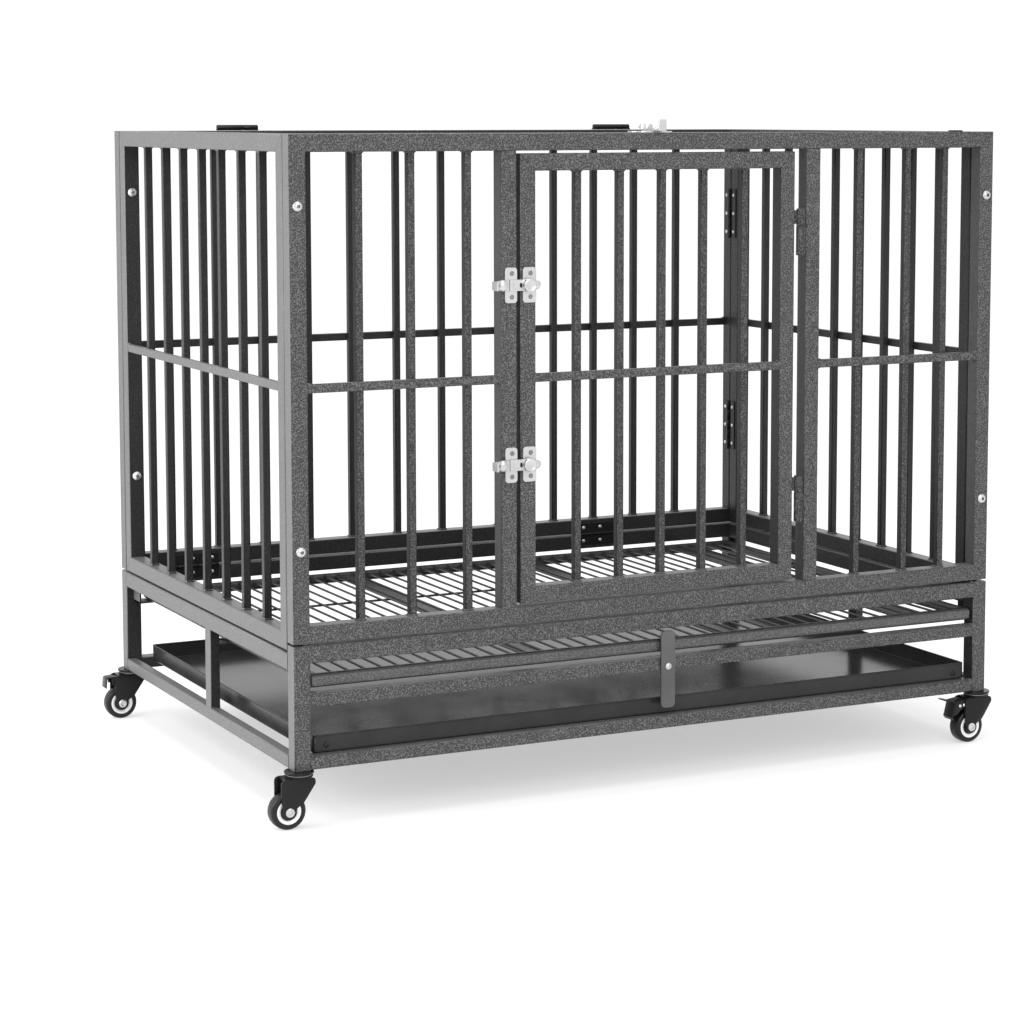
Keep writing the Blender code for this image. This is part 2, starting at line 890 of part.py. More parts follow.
along_x = (0.0, math.pi / 2, 0.0)
roof_tab_top = roof_hinge_radius - roof_hinge_tab_thickness
for side_name, share in zip(("left", "right"), roof_hinge_places):
    start = share * body_length
    hinge_half(
        f"roof_hinge_{side_name}_rail_half",
        roof_hinge_radius,
        roof_hinge_pin_radius,
        hinge_long,
        ((roof_tab_top, 0.0, tab_low), (roof_hinge_radius, roof_hinge_tab, long_tab_high)),
        hinge_pin_reach,
        black_paint,
        (start, roof_axis_y, roof_axis_z),
        crate,
        along_x,
    )
    hinge_half(
        f"roof_hinge_{side_name}_lid_half",
        roof_hinge_radius,
        roof_hinge_pin_radius,
        hinge_short,
        ((roof_tab_top, -roof_hinge_tab, tab_low), (roof_hinge_radius, 0.0, short_tab_high)),
        -(hinge_pin_reach + hinge_pin_end_gap),
        black_paint,
        (start + hinge_long + touch_gap, 0.0, 0.0),
        roof_swing,
        along_x,
    )

# the roof latch lies flat: its plate's face is turned up, and its lever reaches over the front rail
face_up = (-math.pi / 2, 0.0, math.pi / 2)
roof_latch_x = roof_latch_place * body_length
roof_latch_y = lid_front + tube / 2
latch_plate_part(
    "roof_latch_keeper",
    keeper_plate,
    (roof_latch_x, tube / 2, total_height),
    crate,
    turn=face_up,
)
roof_latch_spot = (
    roof_latch_x,
    roof_latch_y - roof_axis_y,
    total_height - roof_axis_z,
)
latch_plate_part(
    "roof_latch_plate",
    latch_plate,
    roof_latch_spot,
    roof_swing,
    pin_reach,
    turn=face_up,
)
roof_latch_swivel = add_empty("roof_latch_swivel", roof_latch_spot, roof_swing)
latch_lever(
    "roof_latch_lever",
    roof_latch_reach,
    roof_latch_swivel,
    turn=face_up,
)

# flat hinges


def flat_hinge(name, place, first_leaf, second_leaf, along):
    """A butt hinge: two leaves and the barrel between them, as boxes and a rod."""
    shape = bmesh.new()
    half = flat_hinge_length / 2
    ends = (Vector(along) * -half, Vector(along) * half)
    rod_into(shape, flat_hinge_barrel, ends[0], ends[1], 12)
    part = place_mesh(name, mesh_of(name, shape), black_paint, place)
    leaves = bmesh.new()
    cube_into(leaves, *first_leaf)
    cube_into(leaves, *second_leaf)
    use_boolean(part, make_helper(name + "_leaves", leaves, place), "UNION")
    return part


inner_end = body_length - tube
inner_back = body_depth - tube
barrel_x = inner_end - touch_gap - flat_hinge_barrel
corner_seam_y = (end_depth_stop + inner_back) / 2
half_hinge = flat_hinge_length / 2 - touch_gap
reach = flat_hinge_barrel
skin = reach - flat_hinge_thickness
corner_levels = (back_panel_bottom + corner_hinge_up, total_height - corner_hinge_down)
for row_name, level in zip(("low", "high"), corner_levels):
    flat_hinge(
        f"corner_hinge_{row_name}",
        (barrel_x, corner_seam_y, level),
        ((skin, -flat_hinge_leaf, -half_hinge), (reach, 0.0, half_hinge)),
        ((skin, 0.0, -half_hinge), (reach, flat_hinge_leaf, half_hinge)),
        (0.0, 0.0, 1.0),
    )
hinge_seam = back_rail_top + seam_gap / 2
for side_name, share in zip(("left", "right"), back_hinge_places):
    start = share * body_length
    flat_hinge(
        f"base_hinge_{side_name}",
        (start + flat_hinge_length / 2, inner_back - touch_gap - flat_hinge_barrel, hinge_seam),
        ((-half_hinge, skin, -flat_hinge_leaf), (half_hinge, reach, 0.0)),
        ((-half_hinge, skin, 0.0), (half_hinge, reach, flat_hinge_leaf)),
        (1.0, 0.0, 0.0),
    )

# tray

tray_bottom = low_rail_top + touch_gap
tray_length = body_length - tray_from_left - tray_from_right
tray_depth = body_depth - tray_from_front - tray_from_back
tray_slide = add_empty("tray_slide", (tray_from_left, tray_from_front, tray_bottom), crate)
sheet = bmesh.new()
bmesh.ops.create_grid(sheet, x_segments=1, y_segments=1, size=0.5)
bmesh.ops.scale(sheet, vec=(tray_length, tray_depth, 1.0), verts=sheet.verts)
bmesh.ops.translate(sheet, vec=(tray_length / 2, tray_depth / 2, 0.0), verts=sheet.verts)
rim = [e for e in sheet.edges if e.is_boundary]
raised = bmesh.ops.extrude_edge_only(sheet, edges=rim)
lifted = [v for v in raised["geom"] if isinstance(v, bmesh.types.BMVert)]
bmesh.ops.translate(sheet, vec=(0.0, 0.0, tray_height), verts=lifted)
tray = place_mesh("tray", mesh_of("tray", sheet), tray_black, (0.0, 0.0, 0.0), tray_slide)
thicken = tray.modifiers.new("sheet", "SOLIDIFY")
thicken.thickness = tray_wall
thicken.offset = -1.0
thicken.use_even_offset = True

# floor grid

grid_left = tube + grid_side_gap
grid_right = body_length - tube - grid_side_gap
grid_front = grid_from_front
grid_back = body_depth - tube - panel_gap
grid_bottom = mid_rail_top + grid_level_gap
grid_top = grid_bottom + grid_height
grid_slide = add_empty("grid_slide", (0.0, 0.0, grid_bottom), crate)


def grid_boxes():
    edge = grid_edge
    top = grid_height
    boxes = [
        ((grid_left, grid_front, 0.0), (grid_left + edge, grid_back, top)),
        ((grid_right - edge, grid_front, 0.0), (grid_right, grid_back, top)),
        ((grid_left + edge / 2, grid_front, 0.0), (grid_right - edge / 2, grid_front + edge, top)),
        ((grid_left + edge / 2, grid_back - edge, 0.0), (grid_right - edge / 2, grid_back, top)),
    ]
    half = grid_wire / 2
    root = edge / 2
    wire_high = top - grid_wire_below
    wire_low = wire_high - grid_wire
    count = int((grid_right - grid_left - 2 * edge) / grid_pitch)
    first = (grid_left + grid_right) / 2 - grid_pitch * (count - 1) / 2
    for i in range(count):
        x = first + i * grid_pitch
        boxes.append(
            (
                (x - half, grid_front + edge - root, wire_low),
                (x + half, grid_back - edge + root, wire_high),
            )
        )
    for share in grid_cross_places:
        y = share * body_depth
        boxes.append(
            (
                (grid_left + edge - root, y - half, wire_low - grid_wire * 0.7),
                (grid_right - edge + root, y + half, wire_low + grid_wire * 0.3),
            )
        )
    for share in grid_band_places:
        x = share * body_length
        boxes.append(
            (
                (x - grid_band_width / 2, grid_front + edge - root, wire_low - grid_band_thickness * 0.6),
                (x + grid_band_width / 2, grid_back - edge + root, wire_low + grid_band_thickness * 0.4),
            )
        )
    return boxes


floor_grid = weld_boxes("floor_grid", grid_boxes(), strip_grey, parent=grid_slide)

# tray stop

stop_level = (mid_rail_bottom + mid_rail_top) / 2 - stop_below_middle
stop_swivel = add_empty("stop_swivel", (stop_x, 0.0, stop_level), crate)
strip = bmesh.new()
rounded_plate(
    strip,
    stop_width,
    stop_up + stop_down,
    stop_width * 0.3,
    -touch_gap - stop_thickness,
    -touch_gap,
    (0.0, (stop_up - stop_down) / 2),
)
tray_stop = place_mesh(
    "tray_stop", mesh_of("tray_stop", strip), strip_grey, (0.0, 0.0, 0.0), stop_swivel
)
bore(
    tray_stop,
    stop_hole_radius,
    (0.0, -2 * stop_thickness, 0.0),
    (0.0, cut_past, 0.0),
    16,
    stop_swivel,
)
screw_points = [
    (0.0, 0.0022),
    (stop_screw_head * 0.6, 0.0019),
    (stop_screw_head, 0.0008),
    (stop_screw_head, 0.0),
    (stop_screw_radius, 0.0),
    (stop_screw_radius, -stop_screw_length),
    (0.0, -stop_screw_length),
]
turn_profile(
    "tray_stop_screw",
    screw_points,
    False,
    14,
    zinc,
    (stop_x, -2 * touch_gap - stop_thickness, stop_level),
    crate,
    (math.pi / 2, 0.0, 0.0),
)
bore(
    base_front_frame,
    stop_screw_radius + bolt_hole_clearance,
    (stop_x, -cut_past, stop_level),
    (stop_x, stop_screw_length - cut_past, stop_level),
    12,
)

# casters

plate_inner = wheel_width / 2 + fork_gap
plate_outer = plate_inner + fork_plate
head_bottom = caster_height - touch_gap - head_height
crown_top = head_bottom - head_gap
crown_bottom = crown_top - fork_crown


def fork_outline():
    """The side of a fork in X and Z: the swivel axis is at x = 0 and the axle trails to -X."""
    axle_x = -caster_trail
    points = [
        (fork_nose * 0.7, crown_top),
        (fork_nose, crown_top - 0.003),
        (fork_nose, crown_top - 0.006),
        (0.001, axle_height + 0.009),
    ]
    for i in range(7):
        a = math.radians(25.0 - 205.0 * i / 6)
        points.append((axle_x + 0.0078 * math.cos(a), axle_height + 0.0078 * math.sin(a)))
    points += [
        (axle_x - fork_heel, axle_height + 0.016),
        (axle_x - fork_heel, crown_top - 0.004),
        (axle_x - fork_heel / 2, crown_top),
    ]
    return points


def caster(corner, x, y, yaw, braked):
    stem = add_empty(f"{corner}_caster", (x, y, 0.0), crate, yaw)
    head_top = caster_height - touch_gap
    turn_profile(
        f"{corner}_caster_head",
        [
            (0.0, head_top),
            (head_radius, head_top),
            (head_radius, head_top - head_height * 0.55),
            (head_radius * 0.8, head_bottom),
            (0.0, head_bottom),
        ],
        False,
        24,
        black_paint,
        (0.0, 0.0, 0.0),
        stem,
    )
    crown = bmesh.new()
    cube_into(
        crown,
        (-caster_trail - fork_heel / 2, -plate_outer, crown_bottom),
        (fork_nose * 0.7, plate_outer, crown_top),
    )
    fork_name = f"{corner}_fork"
    fork = place_mesh(fork_name, mesh_of(fork_name, crown), black_paint, (0.0, 0.0, 0.0), stem)
    sides = bmesh.new()
    plate_into(sides, fork_outline(), -plate_outer, -plate_inner)
    plate_into(sides, fork_outline(), plate_inner, plate_outer)
    axle_from = plate_outer + axle_cap
    rod_into(
        sides,
        axle_radius,
        (-caster_trail, -axle_from, axle_height),
        (-caster_trail, axle_from, axle_height),
        12,
    )
    for way in (-1, 1):
        rod_into(
            sides,
            axle_cap_radius,
            (-caster_trail, way * (plate_outer - 0.001), axle_height),
            (-caster_trail, way * axle_from, axle_height),
            12,
        )
    use_boolean(fork, make_helper(fork_name + "_sides", sides, parent=stem), "UNION")
    smooth(fork)
    half = wheel_width / 2
    turn_profile(
        f"{corner}_wheel",
        [
            (wheel_bore, half * 0.9),
            (wheel_radius * 0.30, half * 0.9),
            (wheel_radius * 0.52, half * 0.62),
            (wheel_radius * 0.62, half),
            (wheel_radius * 0.90, half),
            (wheel_radius, half * 0.72),
            (wheel_radius, -half * 0.72),
            (wheel_radius * 0.90, -half),
            (wheel_radius * 0.62, -half),
            (wheel_radius * 0.52, -half * 0.62),
            (wheel_radius * 0.30, -half * 0.9),
            (wheel_bore, -half * 0.9),
        ],
        True,
        wheel_facets,
        black_resin,
        (-caster_trail, 0.0, axle_height),
        stem,
        (math.pi / 2, 0.0, 0.0),
    )
    if braked:
        pivot_spot = (-caster_trail - pedal_pivot, 0.0, axle_height + pedal_above_axle)
        pivot = add_empty(f"{corner}_brake_pivot", pivot_spot, stem)
        outline = [
            (0.0025, -0.0025),
            (0.0025, 0.0022),
            (-0.0050, 0.0035),
            (-0.0080, 0.0075),
            (-pedal_reach + 0.0005, 0.0105),
            (-pedal_reach, 0.0088),
            (-0.0235, 0.0078),
            (-0.0220, -0.0050),
            (-0.0202, -0.0050),
            (-0.0212, 0.0072),
            (-0.0100, 0.0048),
            (-0.0070, 0.0000),
            (-0.0040, -0.0025),
        ]
        shape = bmesh.new()
        plate_into(shape, outline, -pedal_width / 2, pedal_width / 2)
        name = f"{corner}_brake_pedal"
        place_mesh(name, mesh_of(name, shape), black_paint, (0.0, 0.0, 0.0), pivot)


far_x = body_length - caster_inset
far_y = body_depth - caster_inset
caster("front_left", caster_inset, caster_inset, 0.0, False)
caster("back_left", caster_inset, far_y, 0.0, True)
caster("front_right", far_x, caster_inset, math.radians(front_right_yaw), True)
caster("back_right", far_x, far_y, math.radians(back_right_yaw), False)
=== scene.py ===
# Looks of the dog crate: welded square tube in silver-vein grey, black tray, zinc latches.
# All measures are metres from the front left corner of the body, at floor level.

import math

import bmesh
import bpy
from mathutils import Euler, Matrix, Vector


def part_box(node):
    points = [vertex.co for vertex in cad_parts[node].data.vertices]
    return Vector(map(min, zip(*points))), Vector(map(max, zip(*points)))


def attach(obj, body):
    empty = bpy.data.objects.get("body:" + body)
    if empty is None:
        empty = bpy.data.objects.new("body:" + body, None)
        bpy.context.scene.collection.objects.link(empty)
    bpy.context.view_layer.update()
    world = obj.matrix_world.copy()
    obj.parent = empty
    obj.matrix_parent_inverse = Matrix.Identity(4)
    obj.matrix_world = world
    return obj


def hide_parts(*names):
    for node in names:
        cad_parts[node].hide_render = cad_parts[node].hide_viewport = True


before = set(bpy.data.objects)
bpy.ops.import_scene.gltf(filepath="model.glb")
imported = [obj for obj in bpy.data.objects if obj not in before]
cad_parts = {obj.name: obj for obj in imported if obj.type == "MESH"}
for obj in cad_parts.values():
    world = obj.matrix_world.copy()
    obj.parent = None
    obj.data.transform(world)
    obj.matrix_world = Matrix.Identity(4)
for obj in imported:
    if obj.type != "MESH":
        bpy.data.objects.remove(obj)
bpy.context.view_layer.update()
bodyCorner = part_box("base_front_frame")[0].copy()
bodyCorner.z = 0.0

crate = {
    "length": 0.92,
    "depth": 0.62,
    "height": 0.76,
    "tube": 0.0195,
    "bar": 0.0088,
    "tubeRound": 0.0014,
    "barRound": 0.0011,
    "midRound": 0.0009,
    "slimRound": 0.0012,
    "plateRound": 0.0006,
    "seam": 0.0004,
    "shy": 0.0002,  # welded rails stand back this far from the posts' faces
    "air": 0.0003,  # left between pieces that meet
    "root": 0.001,  # bars run this far into their rails
    "midLow": 0.48,
    "midHigh": 0.49,
}
tube, shy, air, root = crate["tube"], crate["shy"], crate["air"], crate["root"]
half = crate["bar"] / 2
print("loaded", len(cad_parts), "solids")


# materials


class Signal:
    def __init__(self, tree, socket=None):
        self.tree = tree
        self.socket = socket

    def feed(self, target, value):
        if isinstance(value, Signal):
            self.tree.links.new(value.socket, target)
        else:
            target.default_value = value

    def make(self, kind, settings=None, sockets=None, out=0):
        node = self.tree.nodes.new(kind)
        for key, value in (settings or {}).items():
            setattr(node, key, value)
        for key, value in (sockets or {}).items():
            self.feed(node.inputs[key], value)
        return Signal(self.tree, node.outputs[out])

    def sum(self, operation, first, second=0.0, clamp=False):
        return self.make(
            "ShaderNodeMath", {"operation": operation, "use_clamp": clamp}, {0: first, 1: second}
        )

    def __add__(self, other):
        return self.sum("ADD", self, other)

    __radd__ = __add__

    def __sub__(self, other):
        return self.sum("SUBTRACT", self, other)

    def __rsub__(self, other):
        return self.sum("SUBTRACT", other, self)

    def __mul__(self, other):
        return self.sum("MULTIPLY", self, other)

    __rmul__ = __mul__

    def __truediv__(self, other):
        return self.sum("DIVIDE", self, other)

    def held(self):
        return self.sum("ADD", self, 0.0, clamp=True)

    def blend(self, low, high):
        return self.make(
            "ShaderNodeMix", {"data_type": "RGBA"}, {0: self, 6: grey(low), 7: grey(high)}, out=2
        )


def grey(tone):
    return (tone, tone, tone, 1.0)


def startPaint(name, shine=0.5):
    paint = bpy.data.materials.new(name)
    paint.use_nodes = True
    tree = paint.node_tree
    shader = tree.nodes["Principled BSDF"]
    shader.inputs["Specular IOR Level"].default_value = shine
    kit = Signal(tree)
    place = kit.make("ShaderNodeTexCoord", out="Object")
    return paint, kit, shader, place


def closePaint(kit, shader, look, tone, rough, height, depth):
    kit.feed(shader.inputs["Base Color"], tone)
    kit.feed(shader.inputs["Roughness"], rough)
    shader.inputs["Metallic"].default_value = look["metal"]
    bump = kit.make(
        "ShaderNodeBump", None,
        {"Strength": look["relief"], "Distance": depth, "Height": height}, out="Normal",
    )
    kit.feed(shader.inputs["Normal"], bump)


def noise(kit, place, scale, detail, out=0):
    return kit.make(
        "ShaderNodeTexNoise", None, {"Vector": place, "Scale": scale, "Detail": detail}, out=out
    )


veinLook = {"wander": 0.0018, "cloud": 0.35, "metal": 0.1, "shine": 0.3}
enamelLook = {"vary": 0.2, "metal": 0.0, "relief": 0.15, "shine": 0.5}


def veinPaint(name, **own):
    look = {**veinLook, **own}
    paint, kit, shader, place = startPaint(name, look["shine"])
    stir = noise(kit, place, 0.9 / look["cell"], 2.0, "Color")
    shifted = kit.make(
        "ShaderNodeVectorMath", {"operation": "MULTIPLY_ADD"},
        {0: stir, 1: (look["wander"],) * 3, 2: place},
    )
    edge = kit.make(
        "ShaderNodeTexVoronoi", {"feature": "DISTANCE_TO_EDGE"},
        {"Vector": shifted, "Scale": 1.0 / look["cell"]}, out="Distance",
    )
    gaps = noise(kit, place, 1.3 / look["cell"], 1.0)
    cloud = noise(kit, place, 24.0, 3.0)
    vein = (1.0 - edge / look["width"]).held() * ((gaps - 0.38) * 6.0).held()
    shade = (cloud - 0.5) * look["cloud"] + 1.0
    shadeColour = kit.make("ShaderNodeCombineColor", None, {0: shade, 1: shade, 2: shade})
    toned = kit.make(
        "ShaderNodeMix", {"data_type": "RGBA", "blend_type": "MULTIPLY"},
        {0: 1.0, 6: vein.blend(look["base"], look["vein"]), 7: shadeColour}, out=2,
    )
    rough = look["rough"] + vein * -0.1 + (cloud - 0.5) * 0.12
    closePaint(kit, shader, look, toned, rough, vein + gaps * 0.4, 0.0006)
    return paint


def enamelPaint(name, **own):
    look = {**enamelLook, **own}
    paint, kit, shader, place = startPaint(name, look["shine"])
    peel = noise(kit, place, look["peel"], 3.0)
    dust = noise(kit, place, 18.0, 4.0)
    tone = ((dust - 0.42) * 3.0).held().blend(look["tone"], look["dust"])
    closePaint(kit, shader, look, tone, look["rough"] + (dust - 0.5) * look["vary"], peel, 0.0004)
    return paint


veinFront = veinPaint(
    "silver_vein_front", base=0.04, vein=0.165, cell=0.0027, width=0.2, rough=0.5, relief=0.35
)
# painted light: a lighter copy of the vein paint for tops and left-facing faces, where the left
# lamp falls
veinPaintedLight = veinPaint(
    "silver_vein_painted_light", base=0.125, vein=0.16, cell=0.0034, wander=0.0022, width=0.12,
    cloud=0.25, rough=0.42, metal=0.2, relief=0.12, shine=0.5,
)
# painted shade: a darker copy of the vein paint for inner faces and flanks that face away from the
# lamps
veinPaintedShade = veinPaint(
    "silver_vein_painted_shade", base=0.018, vein=0.038, cell=0.0034, wander=0.0022, width=0.12,
    cloud=0.4, rough=0.4, relief=0.18, shine=0.25,
)
# painted shade: a copy of the vein paint, toned for the front panel's sideways faces
veinPaintedFlankShade = veinPaint(
    "silver_vein_flank_painted_shade", base=0.052, vein=0.085, cell=0.0034, wander=0.0022, width=0.12,
    rough=0.44, relief=0.15, shine=0.35,
)
veinBar = veinPaint(
    "silver_vein_bar", base=0.026, vein=0.13, cell=0.0027, wander=0.0017, width=0.18,
    rough=0.44, relief=0.3,
)
# painted shade: a darker copy of the bar paint for the outer faces of the left end's bars
veinPaintedBarShade = veinPaint(
    "silver_vein_slim", base=0.024, vein=0.06, cell=0.003, width=0.14, rough=0.4, relief=0.2
)
gridPaint = veinPaint(
    "silver_vein_grid", base=0.026, vein=0.065, cell=0.003, width=0.14, cloud=0.4, rough=0.36,
    relief=0.2, shine=0.4,
)
# painted light: a lighter copy of the grid paint for the grid's front strip
gridPaintedLight = veinPaint(
    "silver_vein_grid_front", base=0.06, vein=0.15, cell=0.0027, width=0.18, cloud=0.4,
    rough=0.42, metal=0.15, relief=0.25, shine=0.4,
)
stopPaint = enamelPaint(
    "tray_stop_grey", tone=0.09, dust=0.12, peel=500.0, rough=0.38, vary=0.16, metal=0.45,
    relief=0.12, shine=0.4,
)
trayPaint = enamelPaint(
    "tray_enamel_black", tone=0.022, dust=0.034, peel=260.0, rough=0.17, vary=0.12,
    relief=0.08, shine=0.22,
)
blackPaint = enamelPaint(
    "hardware_black", tone=0.005, dust=0.01, peel=700.0, rough=0.28, vary=0.16,
    relief=0.14, shine=0.25,
)
resinPaint = enamelPaint(
    "wheel_resin_black", tone=0.005, dust=0.012, peel=900.0, rough=0.34, relief=0.2, shine=0.3
)
zincPaint = enamelPaint("bright_zinc", tone=0.62, dust=0.5, peel=420.0, rough=0.3, metal=0.8)
screwPaint = enamelPaint("screw_zinc", tone=0.24, dust=0.17, peel=420.0, rough=0.34, metal=0.85)
ringPaint = enamelPaint(
    "ring_polished", tone=0.84, dust=0.76, peel=300.0, rough=0.24, vary=0.12, metal=0.3,
    relief=0.06,
)
frontPaints = [veinFront, veinPaintedLight, veinPaintedShade, veinBar, veinPaintedFlankShade]
# painted light: the left end's outer faces take the lighter copy, its bars' outer faces the darker
# bar copy
leftPaints = [veinPaintedLight, veinPaintedLight, veinPaintedShade, veinPaintedBarShade]
zincPaints = [zincPaint, screwPaint]
mixedPaints = [blackPaint, zincPaint]
print("finishes mixed")


# shapes


def axisVector(axis, size=1.0):
    return Vector([size if i == axis else 0.0 for i in range(3)])


def everything(part):
    return part.verts[:] + part.edges[:] + part.faces[:]


def newVerts(made):
    return [v for v in made["geom"] if isinstance(v, bmesh.types.BMVert)]


def pour(target, part, mark=0):
    for face in part.faces:
        face.material_index = mark
    mesh = bpy.data.meshes.new("pour")
    part.to_mesh(mesh)
    part.free()
    target.from_mesh(mesh)
    bpy.data.meshes.remove(mesh)


def roundEdges(part, edges, size, steps=2, smooth=True):
    made = bmesh.ops.bevel(
        part, geom=edges, offset=size, offset_type="OFFSET", segments=steps, profile=0.5,
        affect="EDGES", material=-1, clamp_overlap=True,
    )
    for face in made["faces"]:
        face.smooth = smooth


def softShade(part, angle=38.0):
    for face in part.faces:
        face.smooth = True
    for edge in part.edges:
        edge.smooth = edge.calc_face_angle(0.0) < math.radians(angle)


def turnTo(part, direction, centre):
    turn = direction.to_track_quat("Z", "Y").to_matrix()
    bmesh.ops.rotate(part, matrix=turn, verts=part.verts)
    bmesh.ops.translate(part, vec=centre, verts=part.verts)


def faceTo(place, way=-1):  # turns +Z of a shape to the front, or to the back with way 1
    return Matrix.Translation(place) @ Matrix.Rotation(-way * math.pi / 2, 4, "X")


def newBlock(low, high):
    part = bmesh.new()
    low, high = Vector(low), Vector(high)
    bmesh.ops.create_cube(part, size=1.0)
    bmesh.ops.scale(part, vec=high - low, verts=part.verts)
    bmesh.ops.translate(part, vec=(low + high) / 2, verts=part.verts)
    return part


def addBar(target, low, high, along, size, cuts=(), mark=0):
    part = newBlock(low, high)
    edges = [
        e for e in part.edges
        if abs((e.verts[0].co - e.verts[1].co).normalized()[along]) > 0.99
    ]
    roundEdges(part, edges, size, 3)
    for point, normal in cuts:
        cut = bmesh.ops.bisect_plane(
            part, geom=everything(part), dist=0.00001, plane_co=point, plane_no=normal,
            clear_outer=True,
        )
        rim = [e for e in cut["geom_cut"] if isinstance(e, bmesh.types.BMEdge)]
        bmesh.ops.holes_fill(part, edges=rim)
        normal = Vector(normal).normalized()
        caps = [
            f for f in part.faces
            if abs(f.normal.dot(normal)) > 0.999
            and abs((f.calc_center_median() - Vector(point)).dot(normal)) < 1e-5
        ]
        edges = [e for e in part.edges if any(f in caps for f in e.link_faces)]
        roundEdges(part, edges, crate["seam"], 1, False)
    bmesh.ops.recalc_face_normals(part, faces=part.faces)
    pour(target, part, mark)


def addFrame(target, low, high, depthAxis, width=tube, size=crate["tubeRound"]):
    across, up = [i for i in range(3) if i != depthAxis]
    low, high = Vector(low), Vector(high)

    def corner(a, b):
        point = low.copy()
        point[across] = a
        point[up] = b
        return point

    def facing(a, b):
        return axisVector(across, a) + axisVector(up, b)

    ends = [
        (corner((low, high)[right][across], (low, high)[top][up]), 2 * right - 1, 2 * top - 1)
        for top in (0, 1) for right in (0, 1)
    ]
    for way in (-1, 1):
        rowLow, rowHigh, postLow, postHigh = low.copy(), high.copy(), low.copy(), high.copy()
        if way < 0:
            rowHigh[up] = low[up] + width
            postHigh[across] = low[across] + width
        else:
            rowLow[up] = high[up] - width
            postLow[across] = high[across] - width
        cuts = [(p, facing(sa, -su)) for p, sa, su in ends if su == way]
        addBar(target, rowLow, rowHigh, across, size, cuts)
        cuts = [(p, facing(-sa, su)) for p, sa, su in ends if sa == way]
        addBar(target, postLow, postHigh, up, size, cuts)


collar = {"foot": 0.0013, "lip": 0.0002, "tall": 0.0018, "round": 0.0004}


def addCollar(target, centre, along, way):
    part = bmesh.new()
    lift = Matrix.Translation((0.0, 0.0, collar["tall"] / 2))
    bmesh.ops.create_cone(
        part, cap_ends=True, segments=4, radius1=(half + collar["foot"]) * math.sqrt(2),
        radius2=(half + collar["lip"]) * math.sqrt(2), depth=collar["tall"],
        matrix=lift @ Matrix.Rotation(math.pi / 4, 4, "Z"),
    )
    roundEdges(part, part.edges[:], collar["round"], 1)
    turnTo(part, axisVector(along, way), centre)
    pour(target, part)


def addRod(target, start, stop, radius, sides=12, rim=0.0, mark=0):
    start, stop = Vector(start), Vector(stop)
    part = bmesh.new()
    bmesh.ops.create_cone(
        part, cap_ends=True, segments=sides, radius1=radius, radius2=radius,
        depth=(stop - start).length,
    )
    if rim:
        caps = [e for e in part.edges if abs(e.verts[0].co.z - e.verts[1].co.z) < 1e-7]
        roundEdges(part, caps, rim)
    softShade(part)
    turnTo(part, stop - start, (start + stop) / 2)
    pour(target, part, mark)


def addUprights(target, places, low, high):
    for x, y in places:
        addBar(target, (x - half, y - half, low - root), (x + half, y + half, high + root), 2,
               crate["barRound"], mark=1)
        addCollar(target, (x, y, low), 2, 1)
        addCollar(target, (x, y, high), 2, -1)


def addMidBar(target, low, high, along):
    addBar(target, (*low, crate["midLow"]), (*high, crate["midHigh"]), along, crate["midRound"])


def addBlob(target, centre, size, seed=0):
    part = bmesh.new()
    bmesh.ops.create_uvsphere(part, u_segments=12, v_segments=8, radius=1.0)
    for vert in part.verts:
        wave = 1.0 + 0.1 * math.sin(vert.co.x * 5 + seed) * math.cos(vert.co.z * 4 + seed)
        vert.co *= wave
    bmesh.ops.scale(part, vec=size, verts=part.verts)
    bmesh.ops.translate(part, vec=centre, verts=part.verts)
    for face in part.faces:
        face.smooth = True
    pour(target, part)


def addTurned(target, profile, matrix, steps=32, ring=False, angle=32.0, mark=0):
    part = bmesh.new()
    corners = [part.verts.new((r, 0.0, h)) for r, h in profile]
    edges = [part.edges.new(pair) for pair in zip(corners, corners[1:])]
    if ring:
        edges.append(part.edges.new((corners[-1], corners[0])))
    bmesh.ops.spin(
        part, geom=corners + edges, cent=(0, 0, 0), axis=(0, 0, 1), angle=math.tau, steps=steps,
        use_merge=True, use_duplicate=False,
    )
    bmesh.ops.remove_doubles(part, verts=part.verts, dist=0.000002)
    bmesh.ops.recalc_face_normals(part, faces=part.faces)
    softShade(part, angle)
    bmesh.ops.transform(part, matrix=matrix, verts=part.verts)
    pour(target, part, mark)


def addPlate(target, width, height, radius, thick, matrix, edge=0.0004, steps=5):
    part = bmesh.new()
    bmesh.ops.create_grid(part, x_segments=1, y_segments=1, size=0.5)
    bmesh.ops.scale(part, vec=(width, height, 1.0), verts=part.verts)
    bmesh.ops.bevel(
        part, geom=part.verts[:], offset=radius, offset_type="OFFSET", segments=steps, profile=0.5,
        affect="VERTICES", material=-1,
    )
    made = bmesh.ops.extrude_face_region(part, geom=part.faces[:])
    bmesh.ops.translate(part, vec=(0.0, 0.0, thick), verts=newVerts(made))
    bmesh.ops.recalc_face_normals(part, faces=part.faces)
    top = [e for e in part.edges if min(v.co.z for v in e.verts) > thick - 1e-6]
    roundEdges(part, top, edge)
    for face in part.faces:
        if abs(face.normal.z) < 0.3:
            face.smooth = True
    bmesh.ops.transform(part, matrix=matrix, verts=part.verts)
    pour(target, part)


def addOutline(target, outline, low, high, edge, matrix=Matrix.Identity(4)):
    part = bmesh.new()
    face = part.faces.new([part.verts.new((x, low, z)) for x, z in outline])
    made = bmesh.ops.extrude_face_region(part, geom=[face])
    bmesh.ops.translate(part, vec=(0.0, high - low, 0.0), verts=newVerts(made))
    bmesh.ops.recalc_face_normals(part, faces=part.faces)
    flat = [e for e in part.edges if abs(e.verts[0].co.y - e.verts[1].co.y) < 1e-7]
    roundEdges(part, flat, edge)
    softShade(part, 30.0)
    bmesh.ops.transform(part, matrix=matrix, verts=part.verts)
    pour(target, part)


